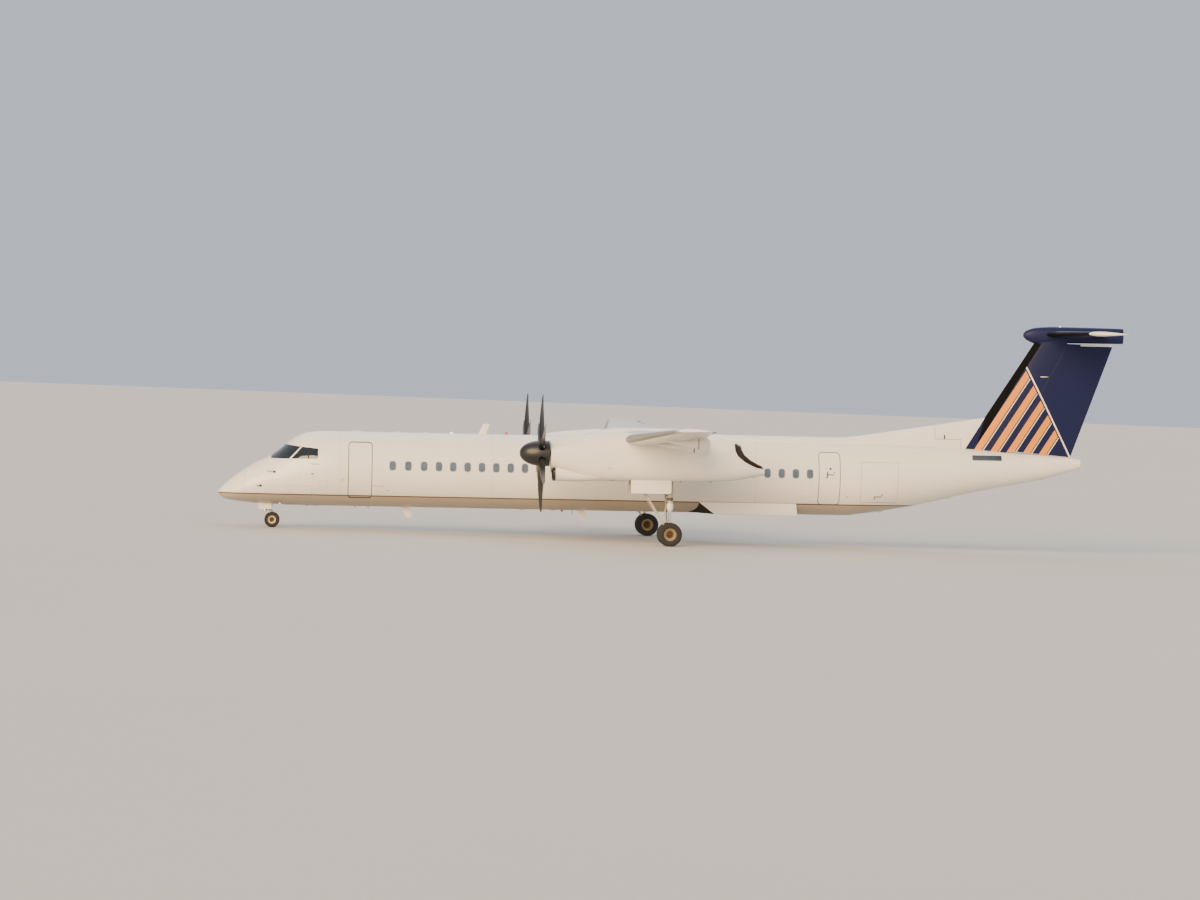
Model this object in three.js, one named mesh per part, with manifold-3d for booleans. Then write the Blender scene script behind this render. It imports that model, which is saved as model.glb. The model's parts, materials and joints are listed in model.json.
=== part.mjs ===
// Twin-turboprop regional airliner with a high wing and a T-tail, parked on its wheels.
// Millimetres, +Z up, nose towards -X, right wing towards +Y. The shapes are modelled level:
// x is the station aft of the nose tip and z the height above the fuselage's axis. At the end
// the whole airframe is tipped nose-down by TILT, stood on its tyres and centred.
import * as THREE from 'three';
import { mergeVertices } from 'three/addons/utils/BufferGeometryUtils.js';
import Module from 'manifold-3d';

const wasm = await Module();
wasm.setup();

// Driving dimensions of the whole aircraft
const TILT = THREE.MathUtils.degToRad(1.0);
const GAP = 0.3;
const REACH = 3000;
const FULL_LENGTH = 32830;
const BEHIND_WING = 17500;
const BEHIND_NACELLE = 20000;
const ABOVE_NACELLE = 2000;

// Fuselage: joints between its sections, and its outline from table rows
const RADOME_END = 950;
const NOSE_END = 4350;
const FORWARD_END = 9800;
const CENTRE_END = 19300;
const FUSELAGE_SIDES = 32;
const FUSELAGE_STEP = 1000;
const CABIN_RADIUS = 1345;
const FUSELAGE = table('x crown keel half mid', [
  [15, -860, -1000, 70, -930],
  [60, -790, -1046, 160, -920],
  [250, -610, -1160, 370, -900],
  [600, -310, -1225, 620, -820],
  [1000, -35, -1268, 800, -700],
  [1450, 235, -1305, 940, -560],
  [1900, 445, -1330, 1050, -420],
  [2390, 851, -1342, 1150, -300],
  [2730, 1105, -1345, 1210, -200],
  [3150, 1283, -1345, 1270, -110],
  [3650, 1340, -1345, 1325, -30],
  [4200, 1345, -1345, 1345, 0],
  [22700, 1345, -1345, 1345, 0],
  [23300, 1335, -1270, 1330, 15],
  [23850, 1325, -1190, 1300, 50],
  [24700, 1300, -1040, 1220, 120],
  [25400, 1275, -905, 1130, 180],
  [26100, 1250, -730, 1030, 240],
  [27500, 1175, -400, 800, 380],
  [29100, 1060, -75, 540, 500],
  [30100, 990, 150, 370, 580],
  [31000, 900, 420, 190, 660],
  [31350, 850, 530, 130, 690],
]);

// Cockpit glazing, seen from the side, and its thickness
const GLAZING = [[1880, 330], [3560, 350], [3560, 730], [2960, 785], [2390, 862], [1880, 862]];
const GLASS = 30;
const CENTRE_POST = 25;

// Doors in the left side: each as x and z limits, and how deep the panel is
const AIRSTAIR = { x0: 4660, x1: 5470, z0: -990, z1: 960, deep: 120 };
const AFT_DOOR = { x0: 21570, x1: 22340, z0: -930, z1: 950, deep: 60 };
const BAGGAGE_DOOR = { x0: 23110, x1: 24470, z0: -830, z1: 620, deep: 60 };
const VESTIBULE = { x0: 4600, x1: 5530, y1: 750, z0: -950, z1: 950, wall: 125 };
const STAIR = { steps: 5, pitch: 300, rise: 133, first: 170, margin: 60 };
const DOOR_HINGE = { inset: 18, knuckle: 17.5, groove: 30, pin: 12, pinReach: 30 };
const DOOR_CLEARANCE = 6;
const DOOR_TOP_CLEARANCE = 12;

// Wing: the leading edge, chord, height and thickness at each span station
const WING_BREAK = 5050;
const WING_CAMBER = 0.02;
const WING_PANELS = 8;
const WING = table('y x chord z thick', [
  [WING_BREAK, 14200, 2750, 1330, 0.17],
  [14000, 15128, 1187, 1770, 0.13],
  [14150, 15160, 1140, 1778, 0.12],
  [14210, 15230, 1000, 1781, 0.07],
]);
const FLAP_CHORD = 0.72;
const INBOARD_FLAP = [1150, 3750];
const OUTBOARD_FLAP = [5110, 9300];
const AILERON = [9500, 13950];
const TRACK_FAIRINGS = [6200, 8900];

// Wing root fairing and the dorsal fin behind it: one line of sections, parted at SPINE_JOINT
const SPINE_JOINT = 17600;
const SPINE = table('x crown half', [
  [13000, 1350, 300],
  [13300, 1455, 620],
  [13800, 1610, 860],
  [14500, 1690, 950],
  [16300, 1690, 950],
  [17100, 1600, 800],
  [17600, 1500, 520],
  [22400, 1490, 500],
  [22900, 1530, 460],
  [23900, 1680, 400],
  [27200, 2215, 220],
  [27790, 2312, 120],
  [27950, 2330, 60],
]);

// Nacelles, on the wing at NACELLE_Y from the centreline
const NACELLE_Y = 4400;
const NACELLE_SIDES = 20;
const NACELLE_STEP = 1000;
const NACELLE_SQUARE = 2.4;
const NACELLE = table('x crown keel half mid', [
  [11650, 1240, 300, 470, 770],
  [12300, 1400, 60, 560, 700],
  [13200, 1500, -150, 600, 640],
  [14200, 1560, -150, 610, 600],
  [16000, 1500, -150, 600, 560],
  [17100, 1485, -115, 565, 540],
  [18200, 1270, -40, 520, 500],
  [18700, 950, 60, 420, 450],
  [19170, 440, 150, 260, 295],
]);
const CHIN = table('x crown keel half mid', [
  [11730, 290, -165, 330, 60],
  [11950, 380, -185, 365, 60],
  [12500, 480, -185, 400, 90],
  [13300, 560, -140, 440, 160],
]);
const LIP = 38;
const TAIL_PIPE = { x0: 17700, x1: 19100, inset: 25, wall: 30, proud: 150, raised: 20 };
const NACELLE_JOINT = 17640;
const NACELLE_END = [
  [18180, 1270], [18190, 1040], [18290, 845], [18530, 655], [18800, 515], [19000, 440], [19170, 420],
];
const GEAR_BAY = { x0: 14400, x1: 16250, half: 260, roof: 250 };

// Propellers: six blades on a hub behind a hollow spinner, axis along X at PROP_Z
const PROP_Z = 780;
const BLADE_PLANE = 11330;
const BLADES = 6;
const BLADE_PANELS = 4;
const BLADE = table('r chord thick pitch sweep', [
  [150, 170, 0.95, 55, 0],
  [400, 175, 0.75, 52, 0],
  [700, 290, 0.22, 42, -5],
  [1250, 340, 0.1, 29, -12],
  [1750, 290, 0.06, 19, 8],
  [2000, 200, 0.05, 16, 40],
  [2055, 110, 0.05, 15, 62],
]);
const BLADE_HOLE = 125;
const HUB = { x0: -200, x1: 250, radius: 210 };
const HUB_FLANGE = { x0: 250, x1: 270 };
const SHAFT = { radius: 90, end: 550, sides: 16, boreFrom: 11500, boreTo: 11950, boreSides: 18 };
const SPINNER = { tip: -770, back: 280, radius: 450, wall: 12, sides: 16 };

// Fin, rudder, tailplane, elevators and the bullet where they meet
const TAIL_PANELS = 7;
const FIN = table('z x chord thick', [
  [850, 26854, 4101.6, 0.12],
  [5400, 29762, 2836.6, 0.12],
]);
const RUDDER_HINGE = { low: [28660, 1000], high: [30800, 5100], share: 0.421, gap: 22 };
const RUDDER_OUTLINE = [[27700, 1203], [31600, 880], [33000, 5032], [30200, 5086]];
const TAIL_Z = 5400;
const TAILPLANE = table('y x chord thick', [
  [0, 29920, 2170, 0.12],
  [4540, 30640, 1450, 0.11],
  [4635, 30740, 1330, 0.05],
]);
const ELEVATOR = { y0: 300, y1: 4400, share: 0.62, gap: 18 };
const BULLET = table('x crown keel half mid', [
  [29150, 5430, 5300, 55, 5370],
  [29260, 5530, 5190, 120, 5370],
  [29600, 5640, 5085, 190, 5380],
  [30200, 5685, 5095, 225, 5400],
  [31200, 5685, 5100, 230, 5400],
  [32000, 5680, 5105, 210, 5400],
  [32600, 5672, 5110, 165, 5400],
  [FULL_LENGTH - 40, 5655, 5125, 145, 5400],
  [FULL_LENGTH, 5560, 5220, 120, 5400],
]);
const AILERON_GAP = 14;
const END_GAP = 8;
const PIN = { radius: 14, reach: 40 };
const RUDDER_PIN = { radius: 22, reach: 60 };

// Main gear, at the same distance from the centreline as the nacelles
const MAIN_X = 15890;
const MAIN_AXLE_Z = -1980;
const MAIN_TYRE = { radius: 425.5, inner: 205, half: 127, spread: 250, sides: 16 };
const MAIN_AXLE = 45;
const LEG = { barrel: 90, collar: 120, collarTop: -930, collarEnd: -1090, piston: 60, eye: 85, eyeHalf: 95 };
const BRACE = { top: [14511, 300], foot: [15700, -1690], radius: 45, lugRadius: 55 };
const GEAR_DOORS = { x0: 14470, x1: 15900, near: 275, far: 300, bottom: -550 };

// Nose gear: the steering axis stands upright, the axle trails behind it
const STEER_X = 1880;
const TRAIL = 70;
const NOSE_TYRE = { radius: 278, inner: 135, half: 82, spread: 180, sides: 16 };
const NOSE_AXLE = 30;
const NOSE_BAY = { x0: 1420, x1: 2350, half: 240, roof: -800 };
const NOSE_LEG = { radius: 66, bottom: 450, bore: 45, boreTop: 800 };
const NOSE_DOORS = { x0: 1460, x1: 1930, thick: 18, top: -1180, bottom: -1500 };

// Belly fairing under the wing's rear
const BELLY = table('x crown keel half mid', [
  [17270, -600, -1000, 965, -800],
  [17850, -600, -1380, 1000, -990],
  [20830, -600, -1380, 1000, -990],
]);
// Jacking points: round pads let into the skin
const JACK_PAD = { radius: 45, drop: 22, root: 95 };
const NOSE_PAD = { x: 3200, z: -CABIN_RADIUS };
const NACELLE_PAD = { x: 17300, z: -115 };

// Blade aerials, above (1) and below (-1) the cabin
const AERIAL = { root: 275, tip: 220, sweep: 180, rise: 370, half: 12, sunk: 40 };
const AERIALS = [{ x: 6595, way: -1 }, { x: 9320, way: 1 }, { x: 12930, way: -1 }];

const PAINT = {
  white: { color: 0xe9e7e0, roughness: 0.35, metalness: 0 },
  navy: { color: 0x1c2550, roughness: 0.35, metalness: 0 },
  black: { color: 0x16171a, roughness: 0.5, metalness: 0 },
  glass: { color: 0x20262c, roughness: 0.1, metalness: 0 },
  steel: { color: 0x8d8f92, roughness: 0.4, metalness: 0.8 },
  gear: { color: 0xd8d8d4, roughness: 0.45, metalness: 0 },
  burnt: { color: 0x4a403a, roughness: 0.6, metalness: 0.7 },
  rim: { color: 0xb9b4aa, roughness: 0.4, metalness: 0.5 },
  rubber: { color: 0x1d1d1e, roughness: 0.85, metalness: 0 },
};

// Rows of a short table as objects, under the given column names.
function table(columns, rows) {
  const names = columns.split(' ');
  return rows.map((row) => Object.fromEntries(names.map((name, i) => [name, row[i]])));
}

// The row at station x, on smooth curves through the table that never pass beyond its rows.
function sectionAt(rows, x) {
  let k = rows.length - 2;
  while (k > 0 && rows[k].x > x) k -= 1;
  const span = rows[k + 1].x - rows[k].x;
  const t = (x - rows[k].x) / span;
  const column = (name) => {
    const rise = (i) => (rows[i + 1][name] - rows[i][name]) / (rows[i + 1].x - rows[i].x);
    const slope = (i) => {
      if (i === 0) return rise(0);
      if (i === rows.length - 1) return rise(i - 1);
      const before = rise(i - 1);
      const after = rise(i);
      return before * after <= 0 ? 0 : (2 * before * after) / (before + after);
    };
    const start = rows[k][name] * (1 + 2 * t) + slope(k) * span * t;
    const end = rows[k + 1][name] * (3 - 2 * t) - slope(k + 1) * span * (1 - t);
    return start * (1 - t) ** 2 + end * t ** 2;
  };
  const names = Object.keys(rows[0]).filter((name) => name !== 'x');
  return { x, ...Object.fromEntries(names.map((name) => [name, column(name)])) };
}

// Stations along a table, no more than `step` apart wherever its rows differ.
function stationsOf(rows, step) {
  const stations = rows.slice(0, -1).flatMap((row, i) => {
    const next = rows[i + 1];
    const straight = Object.keys(row).every((name) => name === 'x' || row[name] === next[name]);
    const parts = straight ? 1 : Math.ceil((next.x - row.x) / step);
    return Array.from({ length: parts }, (_, j) => row.x + ((next.x - row.x) * j) / parts);
  });
  return [...stations, rows.at(-1).x];
}

// Basic solids, how they are skinned, and how they are joined and cut

function toSolid(geometry) {
  const bare = geometry.clone();
  bare.deleteAttribute('normal');
  bare.deleteAttribute('uv');
  const merged = mergeVertices(bare, 1e-3);
  const corners = Array.from(merged.index.array);
  const triangles = [];
  for (let i = 0; i < corners.length; i += 3) {
    const [a, b, c] = corners.slice(i, i + 3);
    if (a !== b && b !== c && c !== a) triangles.push(a, b, c);
  }
  return new wasm.Manifold(new wasm.Mesh({
    numProp: 3,
    vertProperties: Float32Array.from(merged.attributes.position.array),
    triVerts: Uint32Array.from(triangles),
  }));
}

function toGeometry(solid) {
  const mesh = solid.getMesh();
  const geometry = new THREE.BufferGeometry();
  geometry.setAttribute('position', new THREE.BufferAttribute(mesh.vertProperties, 3));
  geometry.setIndex(new THREE.BufferAttribute(mesh.triVerts, 1));
  return geometry;
}

const joined = (...solids) => solids.reduce((sum, solid) => sum.add(solid));
const cutAway = (solid, ...cutters) => cutters.reduce((rest, cutter) => rest.subtract(cutter), solid);
const largestPart = (solid) => solid.decompose().sort((a, b) => b.volume() - a.volume())[0];

// The same solid on the aircraft's other side.
function mirrored(solid) {
  const geometry = toGeometry(solid);
  geometry.scale(1, -1, 1);
  const index = geometry.index.array;
  for (let i = 0; i < index.length; i += 3) [index[i], index[i + 1]] = [index[i + 1], index[i]];
  return toSolid(geometry);
}

function box(x0, x1, y0, y1, z0, z1) {
  const geometry = new THREE.BoxGeometry(x1 - x0, y1 - y0, z1 - z0);
  return toSolid(geometry.translate((x0 + x1) / 2, (y0 + y1) / 2, (z0 + z1) / 2));
}

function extruded(outline, depth) {
  const shape = new THREE.Shape(outline.map(([x, y]) => new THREE.Vector2(x, y)));
  return new THREE.ExtrudeGeometry(shape, { depth, bevelEnabled: false });
}

// Prisms along the three axes, from an outline of [y, z], [x, z] or [x, y] points.
function prismX(outline, x0, x1) {
  const turn = new THREE.Matrix4().set(0, 0, 1, x0, 1, 0, 0, 0, 0, 1, 0, 0, 0, 0, 0, 1);
  return toSolid(extruded(outline, x1 - x0).applyMatrix4(turn));
}

function prismY(outline, y0, y1) {
  return toSolid(extruded(outline, y1 - y0).rotateX(Math.PI / 2).translate(0, y1, 0));
}

function prismZ(outline, z0, z1) {
  return toSolid(extruded(outline, z1 - z0).translate(0, 0, z0));
}

// A round rod from a to b, with its own radius at each end.
function rod(a, b, radiusA, radiusB = radiusA, sides = 12) {
  const along = b.clone().sub(a);
  const geometry = new THREE.CylinderGeometry(radiusB, radiusA, along.length(), sides);
  const turn = new THREE.Quaternion().setFromUnitVectors(new THREE.Vector3(0, 1, 0), along.normalize());
  const centre = a.clone().add(b).multiplyScalar(0.5);
  return toSolid(geometry.applyQuaternion(turn).translate(centre.x, centre.y, centre.z));
}

const point = (x, y, z) => new THREE.Vector3(x, y, z);
const circumscribed = (radius, sides) => radius / Math.cos(Math.PI / sides);

// Triangles over a flat ring of points, turned the way the ring runs.
function flatCap(ring) {
  const next = (i) => ring[(i + 1) % ring.length];
  const area = ring.reduce((sum, p, i) => sum.add(p.clone().cross(next(i))), point(0, 0, 0));
  const size = [Math.abs(area.x), Math.abs(area.y), Math.abs(area.z)];
  const drop = size.indexOf(Math.max(...size));
  const [u, v] = [['y', 'z'], ['z', 'x'], ['x', 'y']][drop];
  const flat = ring.map((p) => new THREE.Vector2(p[u], p[v]));
  const way = Math.sign(area.getComponent(drop));
  return THREE.ShapeUtils.triangulateShape(flat, []).map(([a, b, c]) => {
    const turn = THREE.ShapeUtils.area([flat[a], flat[b], flat[c]]);
    return Math.sign(turn) === way ? [a, b, c] : [a, c, b];
  });
}

// A solid skinned over rings of points that all run the same way round.
function loft(rings) {
  const sides = rings[0].length;
  const last = (rings.length - 1) * sides;
  const faces = flatCap(rings[0]).flatMap(([a, b, c]) => [a, c, b]);
  faces.push(...flatCap(rings.at(-1)).flat().map((i) => i + last));
  for (let start = 0; start < last; start += sides) {
    for (let i = 0; i < sides; i += 1) {
      const a = start + i;
      const b = start + ((i + 1) % sides);
      faces.push(a, b, b + sides, a, b + sides, a + sides);
    }
  }
  const points = rings.flat();
  const volume = faces.reduce((sum, _, i) => (
    i % 3 ? sum : sum + points[faces[i]].dot(points[faces[i + 1]].clone().cross(points[faces[i + 2]]))), 0);
  const geometry = new THREE.BufferGeometry().setFromPoints(points);
  geometry.setIndex(volume > 0 ? faces : faces.reverse());
  return toSolid(geometry);
}

// An oval ring across the aircraft: an upper and a lower half about the widest height.
function ovalRing({ x, crown, keel, half, mid }, { sides, square = 2, y = 0, grow = 0 }) {
  const bulge = (value) => Math.sign(value) * Math.abs(value) ** (2 / square);
  return Array.from({ length: sides }, (_, i) => {
    const turn = (i / sides) * 2 * Math.PI;
    const rise = Math.sin(turn) >= 0 ? crown - mid + grow : mid - keel + grow;
    return point(x, y + (half + grow) * bulge(Math.cos(turn)), mid + rise * bulge(Math.sin(turn)));
  });
}

function ovalLoft(rows, { step, ...shape }) {
  return loft(stationsOf(rows, step).map((x) => ovalRing(sectionAt(rows, x), shape)));
}

// Half the thickness of an aerofoil at a share of its chord, as a share of the chord.
function halfThickness(share, thick) {
  const curve = 0.2969 * Math.sqrt(share) - 0.126 * share - 0.3516 * share ** 2
    + 0.2843 * share ** 3 - 0.1015 * share ** 4;
  return 5 * thick * curve;
}

// Height of the mean line at a share of the chord, for a crest at 40 per cent.
function meanLine(share, camber) {
  const crest = 0.4;
  const side = share < crest ? crest : 1 - crest;
  const base = share < crest ? 0 : 1 - 2 * crest;
  return (camber / side ** 2) * (base + 2 * crest * share - share ** 2);
}

// Points [aft, up] round an aerofoil: along the top to the nose, then back underneath.
function aerofoil({ chord, thick }, { camber = 0, panels, grow = 0 }) {
  const shares = Array.from({ length: panels + 1 }, (_, i) => (1 - Math.cos((Math.PI * i) / panels)) / 2);
  const at = (share, side) => new THREE.Vector2(
    share * chord, (meanLine(share, camber) + side * halfThickness(share, thick)) * chord);
  const top = shares.map((share) => at(share, 1)).reverse();
  return offsetOutline([...top, ...shares.slice(1).map((share) => at(share, -1))], grow);
}

// The outline moved outwards by `grow`, its corners mitred.
function offsetOutline(points, grow) {
  const side = grow * Math.sign(THREE.ShapeUtils.area(points));
  return points.map((p, i) => {
    const before = p.clone().sub(points.at(i - 1)).normalize();
    const after = points[(i + 1) % points.length].clone().sub(p).normalize();
    const along = before.clone().add(after).normalize();
    const mitre = side / along.dot(before);
    return new THREE.Vector2(p.x + along.y * mitre, p.y - along.x * mitre);
  });
}

// Lofts through aerofoil rows: a wing's run along Y, a fin's stand along Z.
function wingLoft(rows, shape) {
  return loft(rows.map((row) => aerofoil(row, shape).map((p) => point(row.x + p.x, row.y, row.z + p.y))));
}

function finLoft(rows, shape) {
  return loft(rows.map((row) => aerofoil(row, shape).map((p) => point(row.x + p.x, p.y, row.z))));
}

// A solid turned about the X or Y axis from a profile of [radius, distance along the axis] points.
function turnedY(profile, sides, phase = 0) {
  const points = profile.map(([radius, along]) => new THREE.Vector2(radius, along));
  return toSolid(new THREE.LatheGeometry(points, sides, phase));
}

function turnedX(profile, sides) {
  const points = profile.map(([radius, along]) => new THREE.Vector2(radius, along));
  return toSolid(new THREE.LatheGeometry(points, sides).rotateZ(-Math.PI / 2));
}

// Parts a hinged surface from a wing or tail. `region` bounds the surface and `bay` the room cut
// for it. The surface's nose is round about the hinge line from a to b, where the wing's half
// thickness is radiusA and radiusB, and a cove with `gap` more radius takes it. A pin on the
// hinge line stands out of each end.
function hingedSurface(full, { a, b, radiusA, radiusB, region, bay, gap, pin }) {
  const along = b.clone().sub(a);
  const length = along.length();
  const run = along.clone().normalize();
  const aft = point(1, 0, 0).addScaledVector(run, -run.x).normalize();
  const frame = new THREE.Matrix4().makeBasis(run, aft, run.clone().cross(aft)).setPosition(a);
  const behind = toSolid(new THREE.BoxGeometry(length + REACH, REACH, REACH)
    .translate(length / 2, REACH / 2, 0).applyMatrix4(frame));
  const spare = 250 / length;
  const taper = radiusB - radiusA;
  const nose = (extra) => rod(
    a.clone().addScaledVector(along, -spare), b.clone().addScaledVector(along, spare),
    radiusA - taper * spare + extra, radiusB + taper * spare + extra, 14);
  const past = (end, distance) => end.clone().addScaledVector(run, distance);
  const pinRod = (radius, extra) => rod(past(a, -pin.reach - extra), past(b, pin.reach + extra), radius);
  const leaf = full.intersect(region).intersect(behind.add(nose(0)));
  const room = bay.intersect(behind.add(nose(gap)));
  const hole = pinRod(circumscribed(pin.radius + GAP, 12), GAP);
  return { leaf: leaf.add(pinRod(pin.radius, 0)), rest: cutAway(full, room, hole), hole };
}

// A slab between two span points, its ends square to the line that joins them.
function slabAlong(a, b, inset) {
  const along = b.clone().sub(a);
  const run = along.clone().normalize();
  const aft = point(1, 0, 0).addScaledVector(run, -run.x).normalize();
  const frame = new THREE.Matrix4().makeBasis(run, aft, run.clone().cross(aft)).setPosition(a);
  const length = along.length();
  return toSolid(new THREE.BoxGeometry(length - 2 * inset, 2 * REACH, REACH)
    .translate(length / 2, 0, 0).applyMatrix4(frame));
}

// The scene graph

const airframe = new THREE.Group();

function piece(name, solid, finish, parent = airframe, place = point(0, 0, 0)) {
  const mesh = new THREE.Mesh(toGeometry(solid), new THREE.MeshStandardMaterial(PAINT[finish]));
  mesh.name = name;
  mesh.position.copy(place);
  parent.add(mesh);
  return mesh;
}

// Adds a right-hand solid and its mirror image on the left.
function pair(name, solid, finish) {
  piece(`left_${name}`, mirrored(solid), finish);
  piece(`right_${name}`, solid, finish);
}

const fuselageSkin = (grow) => ovalLoft(FUSELAGE, { step: FUSELAGE_STEP, sides: FUSELAGE_SIDES, grow });
const nacelleSkin = (grow) => ovalLoft(NACELLE, {
  step: NACELLE_STEP, sides: NACELLE_SIDES, square: NACELLE_SQUARE, y: NACELLE_Y, grow });
const centreWing = (grow) => wingLoft(
  [{ ...WING[0], y: -WING_BREAK }, WING[0]], { camber: WING_CAMBER, panels: WING_PANELS, grow });
const finSkin = (grow) => finLoft(FIN, { panels: TAIL_PANELS, grow });
const bulletSkin = (grow) => ovalLoft(BULLET, { step: 1100, sides: 16, square: 2.3, grow });
const tailplaneSkin = (grow) => {
  const right = TAILPLANE.map((row) => ({ ...row, z: TAIL_Z }));
  const left = right.slice(1).reverse().map((row) => ({ ...row, y: -row.y }));
  return wingLoft([...left, ...right], { panels: TAIL_PANELS, grow });
};

const hull = fuselageSkin(0);
const aroundHull = fuselageSkin(GAP);
const aroundWing = centreWing(GAP);

// A door or panel in the left side: its solid and the room it leaves in the skin.
function leftPanel({ x0, x1, z0, z1, deep }) {
  const core = fuselageSkin(-deep);
  const window = (grow) => box(x0 - grow, x1 + grow, -REACH, -200, z0 - grow, z1 + grow);
  return {
    leaf: cutAway(hull.intersect(window(0)), core),
    room: cutAway(window(GAP), fuselageSkin(-deep - GAP)),
  };
}

// Airstair door: hinged at its foot on a knuckle just inside the skin, with steps on its back.
const radiusAtHinge = CABIN_RADIUS - DOOR_HINGE.inset;
const doorHingeY = -Math.sqrt(radiusAtHinge ** 2 - AIRSTAIR.z0 ** 2);

function doorRod(radius, past) {
  const end = (x) => point(x, doorHingeY, AIRSTAIR.z0);
  return rod(end(AIRSTAIR.x0 - past), end(AIRSTAIR.x1 + past), radius, radius, 16);
}

function airstair() {
  const { x0, x1, z0, z1, deep } = AIRSTAIR;
  const leaf = leftPanel(AIRSTAIR).leaf;
  const backAt = (z) => -Math.sqrt((CABIN_RADIUS - deep + 20) ** 2 - z ** 2);
  const steps = Array.from({ length: STAIR.steps }, (_, i) => {
    const low = z0 + STAIR.first + i * STAIR.pitch;
    const high = low + STAIR.pitch;
    const tooth = [[backAt(low), low], [backAt(high), high], [backAt(high) + 0.62 * STAIR.rise, high - 60],
      [backAt(low + 70) + STAIR.rise, low + 70]];
    return prismX(tooth, x0 + STAIR.margin, x1 - STAIR.margin);
  });
  const trimmed = leaf.intersect(box(x0, x1, -REACH, 0, z0, z1));
  const hinge = joined(doorRod(DOOR_HINGE.knuckle, 0), doorRod(DOOR_HINGE.pin, DOOR_HINGE.pinReach));
  return joined(trimmed, ...steps, hinge);
}

function vestibule() {
  const { x0, x1, y1, z0, z1, wall } = VESTIBULE;
  const room = fuselageSkin(-wall).intersect(box(x0, x1, -REACH, y1, z0, z1));
  const doorway = box(
    AIRSTAIR.x0 - DOOR_CLEARANCE, AIRSTAIR.x1 + DOOR_CLEARANCE, -REACH, -700,
    AIRSTAIR.z0, AIRSTAIR.z1 + DOOR_TOP_CLEARANCE);
  const pinHole = doorRod(circumscribed(DOOR_HINGE.pin + GAP, 16), DOOR_HINGE.pinReach + GAP);
  return [room, doorway, doorRod(DOOR_HINGE.groove, DOOR_CLEARANCE), pinHole];
}

// Fuselage

function jackPad({ x, z }, y) {
  return rod(point(x, y, z + JACK_PAD.root), point(x, y, z - JACK_PAD.drop), JACK_PAD.radius);
}

const section = (from, to) => hull.intersect(
  box(from + GAP / 2, to - GAP / 2, -REACH, REACH, -REACH, REACH));
const glazingEdge = GLAZING.map(([x, z]) => new THREE.Vector2(x, z));
const glazingBand = (way, grow) => prismY(
  offsetOutline(glazingEdge, grow).map((p) => p.toArray()),
  way > 0 ? CENTRE_POST - grow : -REACH, way > 0 ? REACH : grow - CENTRE_POST);
const outsideGlass = cutAway(joined(glazingBand(-1, GAP), glazingBand(1, GAP)), fuselageSkin(-GLASS - GAP));
const noseBay = box(NOSE_BAY.x0, NOSE_BAY.x1, -NOSE_BAY.half, NOSE_BAY.half, -REACH, NOSE_BAY.roof);
const nosePad = jackPad(NOSE_PAD, 0);
const aftDoor = leftPanel(AFT_DOOR);
const baggageDoor = leftPanel(BAGGAGE_DOOR);

piece('radome', section(-REACH, RADOME_END), 'white');
const noseSection = cutAway(section(RADOME_END, NOSE_END), outsideGlass, noseBay).add(nosePad);
piece('nose_section', noseSection, 'white');
[['left', -1], ['right', 1]].forEach(([side, way]) => {
  const pane = cutAway(hull.intersect(glazingBand(way, 0)), fuselageSkin(-GLASS));
  piece(`${side}_cockpit_glazing`, pane, 'glass');
});

// A swept blade aerial on the centreline, on the crown or under the keel.
function bladeAerial({ x, way }) {
  const { root, tip, sweep, rise, half, sunk } = AERIAL;
  const foot = way * (CABIN_RADIUS - sunk);
  const end = way * (CABIN_RADIUS + rise);
  return prismY([[x, foot], [x + root, foot], [x + sweep + tip, end], [x + sweep, end]], -half, half);
}

const [forwardAerials, centreAerials] = [[0, FORWARD_END], [FORWARD_END, CENTRE_END]].map(
  ([from, to]) => AERIALS.filter(({ x }) => x > from && x < to).map(bladeAerial));
const forward = cutAway(section(NOSE_END, FORWARD_END), ...vestibule());
const centre = cutAway(section(FORWARD_END, CENTRE_END), aroundWing);
piece('forward_fuselage', joined(forward, ...forwardAerials), 'white');
piece('airstair_door', airstair(), 'white');
piece('centre_fuselage', joined(centre, ...centreAerials), 'white');
piece('aft_passenger_door', aftDoor.leaf, 'white');
piece('baggage_door', baggageDoor.leaf, 'white');

const bellyFairing = cutAway(ovalLoft(BELLY, { step: 800, sides: 24, square: 6 }), aroundHull);
piece('belly_fairing', largestPart(bellyFairing), 'white');

// Wing

// The hinge point at a share of the chord, with the wing's half thickness there.
function wingHinge(rows, y, share, camber) {
  const upper = rows.findIndex((row) => row.y >= y);
  const [p, q] = [rows[upper - 1], rows[upper]];
  const t = (y - p.y) / (q.y - p.y);
  const mix = (name) => THREE.MathUtils.lerp(p[name], q[name], t);
  const chord = mix('chord');
  const z = (p.z === undefined ? TAIL_Z : mix('z')) + meanLine(share, camber) * chord;
  return { at: point(mix('x') + share * chord, y, z), half: halfThickness(share, mix('thick')) * chord };
}

function flapOutline([y0, y1], grow) {
  const edge = (y) => wingHinge([{ ...WING[0], y: 0 }, ...WING], y, FLAP_CHORD, WING_CAMBER).at.x;
  return [
    [edge(y0) - grow, y0 - grow], [edge(y1) - grow, y1 + grow],
    [BEHIND_WING, y1 + grow], [BEHIND_WING, y0 - grow],
  ];
}

// Boat-shaped housings of the flap tracks under the wing.
function trackFairing(y, grow) {
  const { at, half } = wingHinge(WING, y, FLAP_CHORD, WING_CAMBER);
  const rows = table('x crown keel half mid', [
    [-900, 30, -20, 25, 0],
    [-600, 60, -90, 70, 0],
    [0, 70, -140, 85, 0],
    [600, 60, -110, 75, 0],
    [1150, 30, -25, 20, 0],
  ]).map((row) => ({ ...row, x: row.x + at.x }));
  const under = at.z - half - 30;
  const moved = rows.map((row) => ({
    ...row, crown: row.crown + under, keel: row.keel + under, mid: row.mid + under }));
  return ovalLoft(moved, { step: 700, sides: 12, y, grow });
}

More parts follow.
